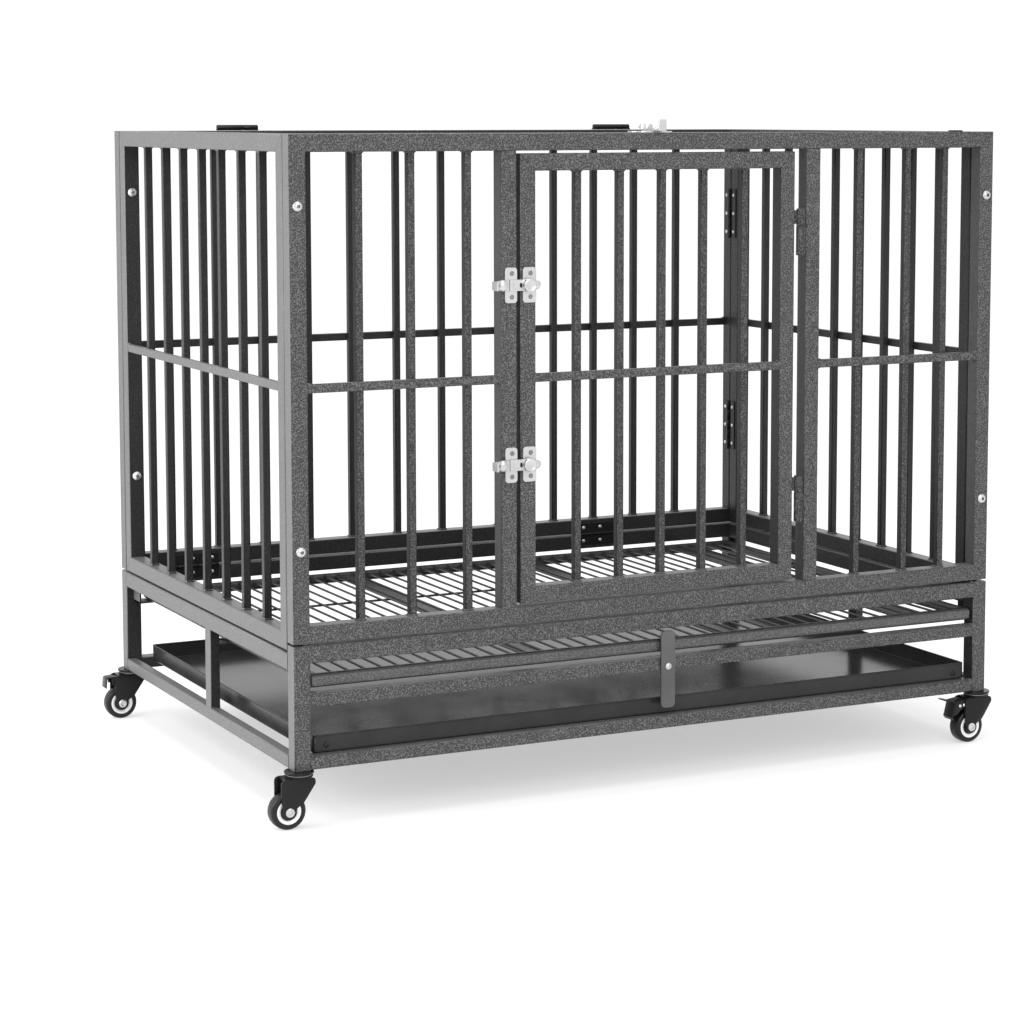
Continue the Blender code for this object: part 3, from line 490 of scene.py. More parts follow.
def paintShadeBySide(shape, outward, flank=2):
    # painted light and shade: faces take lit or shaded copies of the paint by the way they face. 0
    # outer faces, 1 tops and the left side (painted light), 2 inner faces (painted shade), 3 outer
    # faces of bars, else flank (painted shade)
    outward = Vector(outward)
    clear, edge = 0.6, 0.0006
    for face in shape.faces:
        facing, up = face.normal.dot(outward), face.normal.z
        x = face.calc_center_median().x
        if face.material_index == 1:
            face.material_index = 3 if facing > clear else 2
        elif facing > clear or x > crate["length"] - edge:
            face.material_index = 0
        elif up > clear or x < edge:
            face.material_index = 1
        elif facing > -clear and abs(up) < clear:
            face.material_index = flank
        else:
            face.material_index = 2


def newObject(name, shape, paints):
    mesh = bpy.data.meshes.new(name)
    shape.to_mesh(mesh)
    shape.free()
    for paint in paints:
        mesh.materials.append(paint)
    thing = bpy.data.objects.new(name, mesh)
    bpy.context.scene.collection.objects.link(thing)
    return thing


def finishPiece(name, shape, paints, body, nodes, matrix=Matrix.Identity(4)):
    bmesh.ops.transform(shape, matrix=matrix, verts=shape.verts)
    bmesh.ops.translate(shape, vec=bodyCorner, verts=shape.verts)
    piece = newObject(name, shape, paints)
    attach(piece, body)
    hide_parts(*nodes)


def finishWelded(name, shape, nodes, paints=frontPaints, body="crate"):
    finishPiece(name, shape, paints, body, nodes)


# front of the cage

front = {
    "bottom": 0.205,
    "posts": (0.2515, 0.6515),
    "bars": (0.083, 0.145, 0.2135, 0.853, 0.799, 0.73),
    "midRuns": ((0.0165, 0.2545), (0.6685, 0.9035)),
    "midDepth": (0.00075, 0.00625),
    "weldIn": 0.0035,
    "filletHigh": 0.0012,
    "filletHalf": 0.001,
    "filletIn": 0.003,
    "topPad": (0.861, 0.875, 0.002, 0.012, 0.0018),
}


def frontPanel():
    shape = bmesh.new()
    addFrame(shape, (0.0, 0.0, front["bottom"]), (crate["length"], tube, crate["height"]), 1)
    low, high = front["bottom"] + tube, crate["height"] - tube
    wide, inset = front["filletHalf"], front["filletIn"]
    for x in front["posts"]:
        addBar(shape, (x, shy, low), (x + tube, tube - shy, high), 2, crate["tubeRound"])
        for level, way in ((low, 1), (high, -1)):
            bottom, top = sorted((level, level + way * front["filletHigh"]))
            for side in (x + wide, x + tube - wide):
                addBar(shape, (side - wide, inset, bottom), (side + wide, tube - inset, top), 1,
                       0.0005)
    addUprights(shape, [(x, tube / 2) for x in front["bars"]], low, high)
    near, far = front["midDepth"]
    weldIn = front["weldIn"]
    for start, stop in front["midRuns"]:
        addMidBar(shape, (start, near), (stop, far), 0)
        for x, seed in ((start + weldIn, 1.0), (stop - weldIn, 2.3)):
            spot = (x, 0.003, crate["midHigh"] - 0.0016)
            addBlob(shape, spot, (0.0042, 0.0034, 0.003), seed)
            spot = (x, 0.0036, crate["midLow"] + 0.0014)
            addBlob(shape, spot, (0.0036, 0.003, 0.0026), seed + 1)
    paintShadeBySide(shape, (0, -1, 0), 4)
    x0, x1, y0, y1, rise = front["topPad"]
    z = crate["height"]
    addBar(shape, (x0, y0, z - 0.0004), (x1, y1, z + rise), 0, 0.0005, mark=2)
    return shape


finishWelded("front_panel_frame", frontPanel(),
             ["front_left_panel", "front_right_panel", "door_head_rail", "door_sill_rail"])
print("front panel welded")


# back and ends

backPanel = {
    "bottom": 0.1955,
    "barPlaces": (0.0717, 0.1413, 0.2098, 0.2804, 0.3467, 0.4185,
                  0.4908, 0.5837, 0.6761, 0.744, 0.813, 0.887),
    "midRun": (0.0165, 0.9035),
    "midDepth": (0.61375, 0.61925),
}


def backOfCage():
    shape = bmesh.new()
    inner = crate["depth"] - tube
    addFrame(shape, (0.0, inner, backPanel["bottom"]),
             (crate["length"], crate["depth"], crate["height"]), 1)
    places = [(share * crate["length"], inner + tube / 2) for share in backPanel["barPlaces"]]
    addUprights(shape, places, backPanel["bottom"] + tube, crate["height"] - tube)
    near, far = backPanel["midDepth"]
    start, stop = backPanel["midRun"]
    addMidBar(shape, (start, near), (stop, far), 0)
    for x, seed in ((0.021, 0.4), (0.899, 1.9)):
        addBlob(shape, (x, near + 0.002, crate["midHigh"] - 0.001), (0.004, 0.003, 0.003), seed)
    paintShadeBySide(shape, (0, 1, 0))
    return shape


finishWelded("back_panel_frame", backOfCage(), ["back_panel"])

ends = {
    "bottom": 0.1955,
    "depthRun": (0.021, 0.599),
    "midSide": (0.00075, 0.00625),
    "midIn": 0.003,
    "left": {"outer": 0.0, "side": 1, "bars": 7, "pitch": 0.0675, "paints": leftPaints},
    "right": {"outer": 0.92, "side": -1, "bars": 8, "pitch": 0.06, "paints": frontPaints},
}


def endPanel(look):
    shape = bmesh.new()
    outer, side = look["outer"], look["side"]
    xs = sorted((outer, outer + side * tube))
    start, stop = ends["depthRun"]
    addFrame(shape, (xs[0], start, ends["bottom"]), (xs[1], stop, crate["height"]), 0)
    first = crate["depth"] / 2 - look["pitch"] * (look["bars"] - 1) / 2
    places = [(outer + side * tube / 2, first + i * look["pitch"]) for i in range(look["bars"])]
    addUprights(shape, places, ends["bottom"] + tube, crate["height"] - tube)
    xs = sorted(outer + side * x for x in ends["midSide"])
    midIn = tube - ends["midIn"]
    addMidBar(shape, (xs[0], start + midIn), (xs[1], stop - midIn), 1)
    for y, seed in ((start + tube, 0.7), (stop - tube, 2.9)):
        spot = (outer + side * 0.003, y, crate["midHigh"] - 0.0012)
        addBlob(shape, spot, (0.0032, 0.004, 0.003), seed)
    paintShadeBySide(shape, (-side, 0, 0))
    return shape


for word in ("left", "right"):
    finishWelded(f"{word}_end_frame", endPanel(ends[word]), [f"{word}_end_panel"],
                 ends[word]["paints"])
print("back and ends welded")


# base

base = {
    "bottom": 0.064,
    "lowTop": 0.079,
    "mid": (0.134, 0.149),
    "midDepth": 0.015,
    "frontTop": 0.2025,
    "backTop": 0.193,
    "overlap": 0.0004,
    "shelf": ((0.5505, 0.076), (0.604, 0.079)),
    "endDepth": 0.012,
    "endPost": (0.276, 0.295),
    "tabLow": 0.1541,
    "tabHigh": 0.1567,
    "tabReach": 0.034,
    "tabWidth": 0.024,
    "hanger": 0.0026,
}
railStart = tube - base["overlap"]
railStop = crate["length"] - tube + base["overlap"]


def addRail(shape, y0, y1, low, high, size=crate["tubeRound"]):
    addBar(shape, (railStart, y0, low), (railStop, y1, high), 0, size)


def addPosts(shape, y0, y1, top):
    for x in (0.0, crate["length"] - tube):
        addBar(shape, (x, y0, base["bottom"]), (x + tube, y1, top), 2, crate["tubeRound"])


def baseFront():
    shape = bmesh.new()
    bottom, lowTop, top, mid = base["bottom"], base["lowTop"], base["frontTop"], base["mid"]
    addPosts(shape, 0.0, tube, top)
    addRail(shape, shy, tube - shy, bottom + shy, lowTop)
    addRail(shape, shy, base["midDepth"], *mid, crate["slimRound"])
    addRail(shape, shy, tube - shy, top - tube, top - shy)
    for x, way in ((tube, 1), (crate["length"] - tube, -1)):
        for low, high in ((bottom, lowTop), mid, (top - tube, top)):
            addBar(shape, (x - 0.0008, -0.0001, low + 0.001), (x + 0.0008, 0.003, high - 0.001), 2,
                   crate["plateRound"])
            spot = (x + way * 0.0012, 0.004, high - 0.0002)
            addBlob(shape, spot, (0.003, 0.004, 0.0016), x * 9)
    paintShadeBySide(shape, (0, -1, 0))
    return shape


def baseBack():
    shape = bmesh.new()
    length, depth, top = crate["length"], crate["depth"], base["backTop"]
    addPosts(shape, depth - tube, depth, top)
    for low, high in ((base["bottom"] + shy, base["lowTop"]), (top - tube, top - shy)):
        addRail(shape, depth - tube + shy, depth - shy, low, high)
    near, far = base["shelf"]
    addBar(shape, (3 * tube, *near), (length - 3 * tube, *far), 0, 0.0007)
    paintShadeBySide(shape, (0, 1, 0))
    return shape


def baseEnd(outer, side):
    shape = bmesh.new()
    start, stop = tube + air, crate["depth"] - tube - air
    topLow = base["backTop"] - tube
    slim, thin = crate["slimRound"], crate["plateRound"]

    def add(a, b, y0, y1, z0, z1, along, size):
        xs = sorted((outer + side * a, outer + side * b))
        addBar(shape, (xs[0], y0, z0), (xs[1], y1, z1), along, size)

    reach, hanger, depth = base["tabReach"], base["hanger"], base["endDepth"]
    tabLow, tabHigh, wide = base["tabLow"], base["tabHigh"], base["tabWidth"]
    add(0.0, tube, start, stop, topLow, base["backTop"], 1, crate["tubeRound"])
    add(0.0, depth, start, stop, base["bottom"], base["lowTop"], 1, slim)
    add(shy, depth, *base["endPost"], base["lowTop"] - 0.0005, topLow + 0.0005, 2, slim)
    add(depth - 0.003, reach, *base["endPost"], tabLow, tabHigh, 0, thin)
    for y in (start, stop - wide):
        add(depth - hanger, depth, y, y + wide, tabLow, topLow + 0.0005, 2, thin)
        add(depth - hanger, reach, y, y + wide, tabLow, tabHigh, 0, thin)
    for y in base["endPost"]:
        for level in (base["lowTop"], topLow):
            addBlob(shape, (outer + side * 0.004, y, level), (0.0036, 0.0012, 0.0014), y * 7)
    paintShadeBySide(shape, (-side, 0, 0))
    return shape


for word, nodeWord, shape, paints in (
    ("front", "front_frame", baseFront(), frontPaints),
    ("back", "back_frame", baseBack(), frontPaints),
    ("left", "left_end", baseEnd(0.0, 1), leftPaints),
    ("right", "right_end", baseEnd(crate["length"], -1), frontPaints),
):
    finishWelded(f"base_{word}_rails", shape, [f"base_{nodeWord}"], paints)
print("base welded")


# door

door = {
    "left": 0.2752,
    "right": 0.6355,
    "bottom": 0.2275,
    "top": 0.7375,
    "firstBar": 0.35078,
    "barPitch": 0.05498,
    "bars": 5,
    "midRun": (0.2905, 0.619),
    "hingeX": 0.6435,
    "hingeRadius": 0.0053,
    "hingeLevels": {"low": 0.297, "high": 0.615},
    "postHalf": 0.035,
    "doorHalf": 0.02,
    "leafReach": 0.0077,
    "leafThick": 0.003,
}


def frontDoor():
    shape = bmesh.new()
    addFrame(shape, (door["left"], 0.0, door["bottom"]), (door["right"], tube, door["top"]), 1)
    places = [(door["firstBar"] + i * door["barPitch"], tube / 2) for i in range(door["bars"])]
    addUprights(shape, places, door["bottom"] + tube, door["top"] - tube)
    near, far = front["midDepth"]
    start, stop = door["midRun"]
    addMidBar(shape, (start, near), (stop, far), 0)
    for x, seed in ((start + front["weldIn"], 3.0), (stop - front["weldIn"], 4.1)):
        addBlob(shape, (x, 0.0032, crate["midHigh"] - 0.0014), (0.004, 0.0032, 0.0028), seed)
    paintShadeBySide(shape, (0, -1, 0))
    return shape


finishWelded("door_frame", frontDoor(), ["front_door"], body="front_door")


def doorHinge(level, length, way, pin):
    shape = bmesh.new()
    x, top = door["hingeX"], level + length
    addRod(shape, (x, 0.0, level), (x, 0.0, top), door["hingeRadius"], 28, 0.0007)
    if pin:
        addRod(shape, (x, 0.0, top - 0.002), (x, 0.0, top + 0.014), 0.0025, 16, 0.0004)
    xs = sorted((x, x + way * door["leafReach"]))
    addBar(shape, (xs[0], 0.0, level + 0.002), (xs[1], door["leafThick"], top - 0.002), 2,
           crate["plateRound"])
    for share, seed in ((0.28, 0.3), (0.72, 1.3)):
        spot = (x + way * 0.0072, 0.0012, level + length * share)
        addBlob(shape, spot, (0.0014, 0.0022, length * 0.18), seed)
    return shape


for row, level in door["hingeLevels"].items():
    upper = level + door["postHalf"] + air
    finishWelded(f"door_hinge_{row}_post_knuckle", doorHinge(level, door["postHalf"], 1, True),
                 [f"door_hinge_{row}_post_half"], [veinBar])
    finishWelded(f"door_hinge_{row}_door_knuckle", doorHinge(upper, door["doorHalf"], -1, False),
                 [f"door_hinge_{row}_door_half"], [veinBar], "front_door")
print("door hung")


# latches, drawn for the door: the pin is at the origin, the face at y = 0 and the keeper to -X

latch = {
    "levels": {"low": 0.3875, "high": 0.5905},
    "pivotX": 0.28375,
    "keeper": {"x": -0.0206, "size": (0.015, 0.04), "screwX": -0.0198},
    "plate": {"x": 0.0024, "size": (0.0166, 0.04), "screwX": 0.0034},
    "plateRadius": 0.0036,
    "thick": 0.0015,
    "screwUp": 0.0133,
    "leverBack": -0.0021,
    "leverFront": -0.0043,
    "leverHeight": 0.0126,
    "jointX": -0.0235,
    "bulge": (-0.0376, -0.026),
    "reach": {"latch_low": 0.0448, "latch_high": 0.0448, "roof_latch": 0.04},
    "tabHeight": 0.011,
    "tabThick": 0.0022,
    "knobRadius": 0.0078,
    "roofPlace": (0.452, 0.03075, 0.76),
}
flushHead = [  # sits under the turning lever
    (0.0, 0.00004), (0.0009, 0.00004), (0.0012, 0.00018), (0.0025, 0.00018), (0.0029, 0.0),
    (0.0029, -0.0006), (0.0, -0.0006),
]


def latchPlate(look):
    shape = bmesh.new()
    spot = faceTo((look["x"], -air, 0.0))
    addPlate(shape, *look["size"], latch["plateRadius"], latch["thick"], spot)
    for way in (-1, 1):
        spot = faceTo((look["screwX"], -air - latch["thick"], way * latch["screwUp"]))
        addTurned(shape, flushHead, spot, 20, mark=1)
    return shape


def latchLever(reach):
    shape = bmesh.new()
    back, face = latch["leverBack"], latch["leverFront"]
    tall = latch["leverHeight"] / 2
    joint = latch["jointX"]
    start, stop = latch["bulge"]
    slim = tall * 0.62
    wide = tall * 0.92
    tab = tall * 0.8
    addBar(shape, (joint + 0.0002, face, -tall), (0.0, back, tall), 2, 0.0007)
    addBar(shape, (joint + 0.0045, face - 0.0004, -slim), (-0.006, back, slim), 0, 0.0006)
    addBar(shape, (start + 0.002, face + 0.0002, -wide), (joint - 0.0002, back, wide), 2, 0.0007)
    part = bmesh.new()
    bmesh.ops.create_uvsphere(part, u_segments=24, v_segments=14, radius=1.0)
    bmesh.ops.scale(part, vec=((stop - start) / 2, 0.0036, tall * 1.06), verts=part.verts)
    bmesh.ops.bisect_plane(
        part, geom=everything(part), plane_co=(0, 0.0018, 0), plane_no=(0, 1, 0), clear_outer=True
    )
    bmesh.ops.holes_fill(part, edges=[e for e in part.edges if e.is_boundary])
    bmesh.ops.translate(part, vec=((start + stop) / 2, face + 0.0004, 0.0), verts=part.verts)
    softShade(part)
    pour(shape, part)
    addBar(shape, (-reach + 0.0008, face, -tab), (start + 0.004, back, tab), 0, 0.0006)
    addBar(shape, (-reach, face - latch["tabHeight"], -tab),
           (-reach + latch["tabThick"], back - 0.0003, tab), 1, 0.0008)
    radius = latch["knobRadius"]
    knob = [
        (0.0, 0.005), (radius * 0.55, 0.0054), (radius * 0.8, 0.006), (radius * 0.95, 0.0054),
        (radius, 0.004), (radius, 0.0), (0.0, 0.0),
    ]
    addTurned(shape, knob, faceTo((0.0, face + 0.0001, 0.0)), 36)
    addBlob(shape, (radius * 0.8, face - 0.0022, 0.0), (radius, 0.002, radius * 0.7), 1.0)
    # painted shade: a flat dark oval in screw zinc stands for the lever's oval hole
    holeShade = [(0.0, 0.0004), (0.0028, 0.0003), (0.003, 0.0), (0.0, 0.0)]
    spot = faceTo((-0.0098, face - 0.0003, 0.0)) @ Matrix.Diagonal((0.55, 1.0, 1.0, 1.0))
    addTurned(shape, holeShade, spot, 20, mark=1)
    return shape


def placeLatch(word, spot, lidBody):
    finishPiece(f"{word}_keeper_plate", latchPlate(latch["keeper"]), zincPaints,
                "crate", [f"{word}_keeper"], spot)
    finishPiece(f"{word}_back_plate", latchPlate(latch["plate"]), zincPaints,
                lidBody, [f"{word}_plate"], spot)
    finishPiece(f"{word}_turning_lever", latchLever(latch["reach"][word]), [zincPaint, blackPaint],
                f"{word}_lever", [f"{word}_lever"], spot)


for row, level in latch["levels"].items():
    placeLatch(f"latch_{row}", Matrix.Translation((latch["pivotX"], 0.0, level)), "front_door")
faceUp = Euler((-math.pi / 2, 0.0, math.pi / 2)).to_matrix().to_4x4()
placeLatch("roof_latch", Matrix.Translation(latch["roofPlace"]) @ faceUp, "roof_lid")
print("latches fitted")


# bolts

bolts = {
    "radius": 0.0058,
    "height": 0.0032,
    "shank": 0.003,
    "length": 0.032,
    "recessShade": 0.31,
    "sides": {"left": 0.00975, "right": 0.91025},
    "front": {"low": 0.307, "high": 0.6825, "face": 0.0},
    "back": {"low": 0.32, "high": 0.6825, "face": 0.5795},
}


def cornerBolt(x, face, level):
    shape = bmesh.new()
    r, h = bolts["radius"], bolts["height"]
    shank, length = bolts["shank"], bolts["length"]
    profile = [
        (0.0, h * 0.45), (r * 0.28, h * 0.45), (r * 0.34, h * 0.97), (r * 0.55, h * 0.9),
        (r * 0.8, h * 0.64), (r * 0.95, h * 0.32), (r, h * 0.08), (r, 0.0),
        (shank, 0.0), (shank, -length), (0.0, -length),
    ]
    centre = Vector((x, face - air, level))
    addTurned(shape, profile, faceTo(centre), 28)
    # painted shade: the faces inside the centre recess take the darker screw zinc
    for each in shape.faces:
        away = each.calc_center_median() - centre
        if away.y < 0.0 and math.hypot(away.x, away.z) < r * bolts["recessShade"]:
            each.material_index = 1
    return shape


for face in ("front", "back"):
    for side, x in bolts["sides"].items():
        for row in ("low", "high"):
            name = f"{face}_{side}_{row}_bolt"
            finishPiece(name + "_head", cornerBolt(x, bolts[face]["face"], bolts[face][row]),
                        zincPaints, "crate", [name])
print("bolts in")


# roof

roof = {
    "low": (0.021, 0.021, 0.7405),
    "high": (0.899, 0.599, 0.76),
    "bars": 12,
    "pitch": 0.066516,
    "cross": (0.305, 0.315, 0.75375, 0.75845),
    "axis": (0.59975, 0.7639),
    "hingeStarts": {"left": 0.131, "right": 0.67896},
    "hingeRadius": 0.0036,
    "railHalf": 0.035,
    "lidHalf": 0.02,
    "leafReach": 0.009,
    "leafThick": 0.0016,
}


def roofLid():
    shape = bmesh.new()
    low, high = Vector(roof["low"]), Vector(roof["high"])
    addFrame(shape, low, high, 2)
    level = (low.z + high.z) / 2
    first = crate["length"] / 2 - roof["pitch"] * (roof["bars"] - 1) / 2
    near, far = low.y + tube, high.y - tube
    for i in range(roof["bars"]):
        x = first + i * roof["pitch"]
        addBar(shape, (x - half, near - root, level - half), (x + half, far + root, level + half),
               1, crate["barRound"], mark=1)
        addCollar(shape, (x, near, level), 1, 1)
        addCollar(shape, (x, far, level), 1, -1)
    y0, y1, z0, z1 = roof["cross"]
    addBar(shape, (low.x + tube - 0.002, y0, z0), (high.x - tube + 0.002, y1, z1), 0,
           crate["midRound"])
    paintShadeBySide(shape, (0, 0, 1))
    return shape


finishWelded("roof_grille", roofLid(), ["roof_lid"], body="roof_lid")


def roofHinge(start, length, way, pin):
    shape = bmesh.new()
    y, z = roof["axis"]
    r, stop = roof["hingeRadius"], start + length
    addRod(shape, (start, y, z), (stop, y, z), r, 24, 0.0006)
    if pin:
        addRod(shape, (stop - 0.002, y, z), (stop + 0.014, y, z), 0.0016, 14, 0.0003)
    ys = sorted((y, y + way * roof["leafReach"]))
    addBar(shape, (start + 0.002, ys[0], z - r), (stop - 0.002, ys[1], z - r + roof["leafThick"]),
           1, 0.0005)
    return shape


for side, start in roof["hingeStarts"].items():
    lidStart = start + roof["railHalf"] + air
    finishPiece(f"roof_hinge_{side}_rail_knuckle", roofHinge(start, roof["railHalf"], 1, True),
                [blackPaint], "crate", [f"roof_hinge_{side}_rail_half"])
    finishPiece(f"roof_hinge_{side}_lid_knuckle", roofHinge(lidStart, roof["lidHalf"], -1, False),
                [blackPaint], "roof_lid", [f"roof_hinge_{side}_lid_half"])
print("roof on")


# flat hinges

flatHinges = {
    "length": 0.07,
    "leaf": 0.015,
    "thick": 0.0012,
    "barrel": 0.0022,
    "knuckles": 5,
    "screwLevels": (-0.026, 0.0, 0.026),
    "cornerSpot": (0.898, 0.59975),
    "cornerLevels": {"low": 0.337, "high": 0.6405},
    "baseStarts": {"left": 0.055, "right": 0.655},
    "baseSpot": (0.598, 0.19425),
}
panHead = [
    (0.0, 0.0009), (0.0007, 0.0009), (0.001, 0.0014), (0.0022, 0.0011), (0.0029, 0.0004),
    (0.0029, 0.0), (0.0, 0.0),
]
smallHead = [(r * 0.85, h * 0.85) for r, h in panHead]


def flatHinge():
    shape = bmesh.new()
    long, leaf = flatHinges["length"] / 2, flatHinges["leaf"]
    r, thick = flatHinges["barrel"], flatHinges["thick"]
    count = flatHinges["knuckles"]
    for i in range(count):
        start = -long + i * 2 * long / count
        stop = start + 2 * long / count
        addRod(shape, (0.0, 0.0, start + 0.0002), (0.0, 0.0, stop - 0.0002), r, 18, 0.0003)
    for way in (-1, 1):
        spot = faceTo((way * (leaf + r * 0.4) / 2, r, 0.0))
        addPlate(shape, leaf - r * 0.4, 2 * long - 0.0006, 0.0012, thick, spot, 0.0003, 3)
        for level in flatHinges["screwLevels"]:
            addTurned(shape, smallHead, faceTo((way * leaf * 0.62, r - thick, level)), 20, mark=1)
    return shape


for row, level in flatHinges["cornerLevels"].items():
    x, y = flatHinges["cornerSpot"]
    spot = Matrix.Translation((x, y, level)) @ Matrix.Rotation(-math.pi / 2, 4, "Z")
    finishPiece(f"corner_hinge_{row}_leaves", flatHinge(), mixedPaints, "crate",
                [f"corner_hinge_{row}"], spot)
for side, start in flatHinges["baseStarts"].items():
    middle = (start + flatHinges["length"] / 2, *flatHinges["baseSpot"])
    spot = Matrix.Translation(middle) @ Matrix.Rotation(math.pi / 2, 4, "Y")
    finishPiece(f"base_hinge_{side}_leaves", flatHinge(), mixedPaints, "crate",
                [f"base_hinge_{side}"], spot)
print("flat hinges on")


# tray

tray = {
    "low": (0.026, 0.012, 0.0793),
    "high": (0.896, 0.578, 0.0993),
    "cornerRadius": 0.0035,
    "bottomRadius": 0.0014,
    "wall": 0.0012,
    "bead": 0.0011,
    "beadIn": 0.003,
    "rivets": ((0.0421, 0.0879), (0.8799, 0.0873)),
    "rivetShape": [
        (0.0, 0.0007), (0.0012, 0.0007), (0.0016, 0.0018), (0.0028, 0.0014), (0.0036, 0.0003),
        (0.0036, 0.0), (0.0, 0.0),
    ],
}


def trayPan():
    low, high = Vector(tray["low"]), Vector(tray["high"])
    shape = newBlock(low, high)
    top = max(shape.faces, key=lambda f: f.calc_center_median().z)
    bmesh.ops.delete(shape, geom=[top], context="FACES_ONLY")
    upright = [e for e in shape.edges if abs(e.verts[0].co.z - e.verts[1].co.z) > 0.01]
    roundEdges(shape, upright, tray["cornerRadius"], 4)
    bottom = [e for e in shape.edges if max(v.co.z for v in e.verts) < tray["low"][2] + 1e-6]
    roundEdges(shape, bottom, tray["bottomRadius"])
    bmesh.ops.recalc_face_normals(shape, faces=shape.faces)
    bmesh.ops.solidify(shape, geom=shape.faces[:], thickness=tray["wall"])
    bmesh.ops.recalc_face_normals(shape, faces=shape.faces)
    r, inset = tray["bead"], tray["beadIn"]
    level = high.z - r * 0.7
    for y in (low.y + r * 0.6, high.y - r * 0.6):
        addRod(shape, (low.x + inset, y, level), (high.x - inset, y, level), r, 10)
    for x in (low.x + r * 0.6, high.x - r * 0.6):
        addRod(shape, (x, low.y + inset, level), (x, high.y - inset, level), r, 10)
    for x, z in tray["rivets"]:
        addTurned(shape, tray["rivetShape"], faceTo((x, low.y + 0.0001, z)), 20)
    return shape


finishPiece("tray_pan", trayPan(), [trayPaint], "tray", ["tray"])
print("tray in")


# floor grid

grid = {
    "low": (0.022, 0.004, 0.157),
    "high": (0.898, 0.599, 0.17),
    "edge": 0.01,
    "edgeRound": 0.004,
    "drop": 0.0026,
    "dropRound": 0.0046,
    "wire": 0.003,
    "wireRoot": 0.002,
    "pitch": 0.02,
    "crossPlaces": (0.15, 0.405),
    "bandPlaces": (0.3, 0.56, 0.815),
    "bandWidth": 0.032,
    "bandRoot": 0.003,
}


def floorGrid():
    shape = bmesh.new()
    low, high = Vector(grid["low"]), Vector(grid["high"])
    edge = grid["edge"]
    addFrame(shape, low, high, 2, edge, grid["edgeRound"])
    addBar(shape, (low.x + 0.0005, low.y - 0.0004, low.z - grid["drop"]),
           (high.x - 0.0005, low.y + edge + 0.0006, high.z - 0.0008), 0, grid["dropRound"], mark=1)
    r, into = grid["wire"] / 2, grid["wireRoot"]
    level = high.z - 0.0005 - r
    near, far = low.y + edge, high.y - edge
    count = int((high.x - low.x - 2 * edge) / grid["pitch"])
    first = (low.x + high.x) / 2 - grid["pitch"] * (count - 1) / 2
    for i in range(count):
        x = first + i * grid["pitch"]
        addRod(shape, (x, near - into, level), (x, far + into, level), r, 8)
    under = level - 2 * r + 0.0004
    for y in grid["crossPlaces"]:
        addRod(shape, (low.x + edge - into, y, under), (high.x - edge + into, y, under), r, 10)
    wide, into = grid["bandWidth"] / 2, grid["bandRoot"]
    for x in grid["bandPlaces"]:
        addBar(shape, (x - wide, near - into, level - r - 0.0012),
               (x + wide, far + into, level - r + 0.0008), 1, crate["plateRound"])
    # painted shade: the front strip's downward faces go back to the darker grid paint
    for face in shape.faces:
        if face.material_index == 1 and face.normal.z < -0.35:
            face.material_index = 0
    return shape


finishPiece("floor_grid_wires", floorGrid(), [gridPaint, gridPaintedLight], "floor_grid",
            ["floor_grid"])
print("floor grid in")


# tray stop

strip = {
    "x": 0.4655,
    "level": 0.1385,
    "width": 0.0185,
    "up": 0.042,
    "down": 0.0495,
    "thick": 0.003,
    "screw": [
        (0.0, 0.0012), (0.0011, 0.0012), (0.0014, 0.0021), (0.0026, 0.0018), (0.0039, 0.0009),
        (0.0042, 0.0003), (0.0042, 0.0), (0.0023, 0.0), (0.0023, -0.012), (0.0, -0.012),
    ],
}


def trayStop():
    shape = bmesh.new()
    middle = strip["level"] + (strip["up"] - strip["down"]) / 2
    addPlate(shape, strip["width"], strip["up"] + strip["down"], 0.0056, strip["thick"],
             faceTo((strip["x"], -air, middle)), 0.0007, 6)
    return shape


def stopScrew():
    shape = bmesh.new()
    spot = faceTo((strip["x"], -2 * air - strip["thick"], strip["level"]))
    addTurned(shape, strip["screw"], spot, 24)
    return shape


finishPiece("tray_stop_strip", trayStop(), [stopPaint], "tray_stop", ["tray_stop"])
finishPiece("tray_stop_screw_head", stopScrew(), [zincPaint], "crate", ["tray_stop_screw"])
print("tray stop on")


# casters, drawn with the swivel axis at the origin and the axle trailing to -X

caster = {
    "inset": 0.0075,
    "trail": 0.015,
    "height": 0.064,
    "headRadius": 0.017,
    "headHeight": 0.006,
    "axleHeight": 0.02039,
    "wheelRadius": 0.02038,
    "wheelHalf": 0.0085,
    "ring": (0.0094, 0.0141),
    "plateInner": 0.0098,
    "plate": 0.0022,
    "nose": 0.0152,
    "heel": 0.01,
    "hubRadius": 0.0078,
    "pedalHalf": 0.009,
    "cheekThick": 0.0006,
    "pedalPivot": 0.002,
    "pedalUp": 0.029,
    "yaw": {"front_left": 0.0, "back_left": 0.0, "front_right": 2.0, "back_right": 8.0},
    "braked": ("back_left", "front_right"),
}
crownTop = caster["height"] - air - caster["headHeight"] - 0.0004
axleX, axleZ = -caster["trail"], caster["axleHeight"]


def casterHead():
    shape = bmesh.new()
    top, r = caster["height"] - air, caster["headRadius"]
    addTurned(shape, [
        (0.0, top), (r * 0.95, top), (r * 0.98, top - 0.0006), (r * 0.98, top - 0.0022),
        (r * 0.93, top - 0.003), (r * 0.86, top - 0.0033), (r * 0.86, top - 0.0044),
        (r * 0.92, top - 0.0048), (r * 0.92, top - 0.006), (0.0, top - 0.006),
    ], Matrix.Identity(4), 48)
    addTurned(shape, [
        (r * 0.8, top - 0.0035), (r * 0.875, top - 0.0035), (r * 0.88, top - 0.0039),
        (r * 0.875, top - 0.0043), (r * 0.8, top - 0.0043),
    ], Matrix.Identity(4), 48, ring=True, mark=1)
    return shape


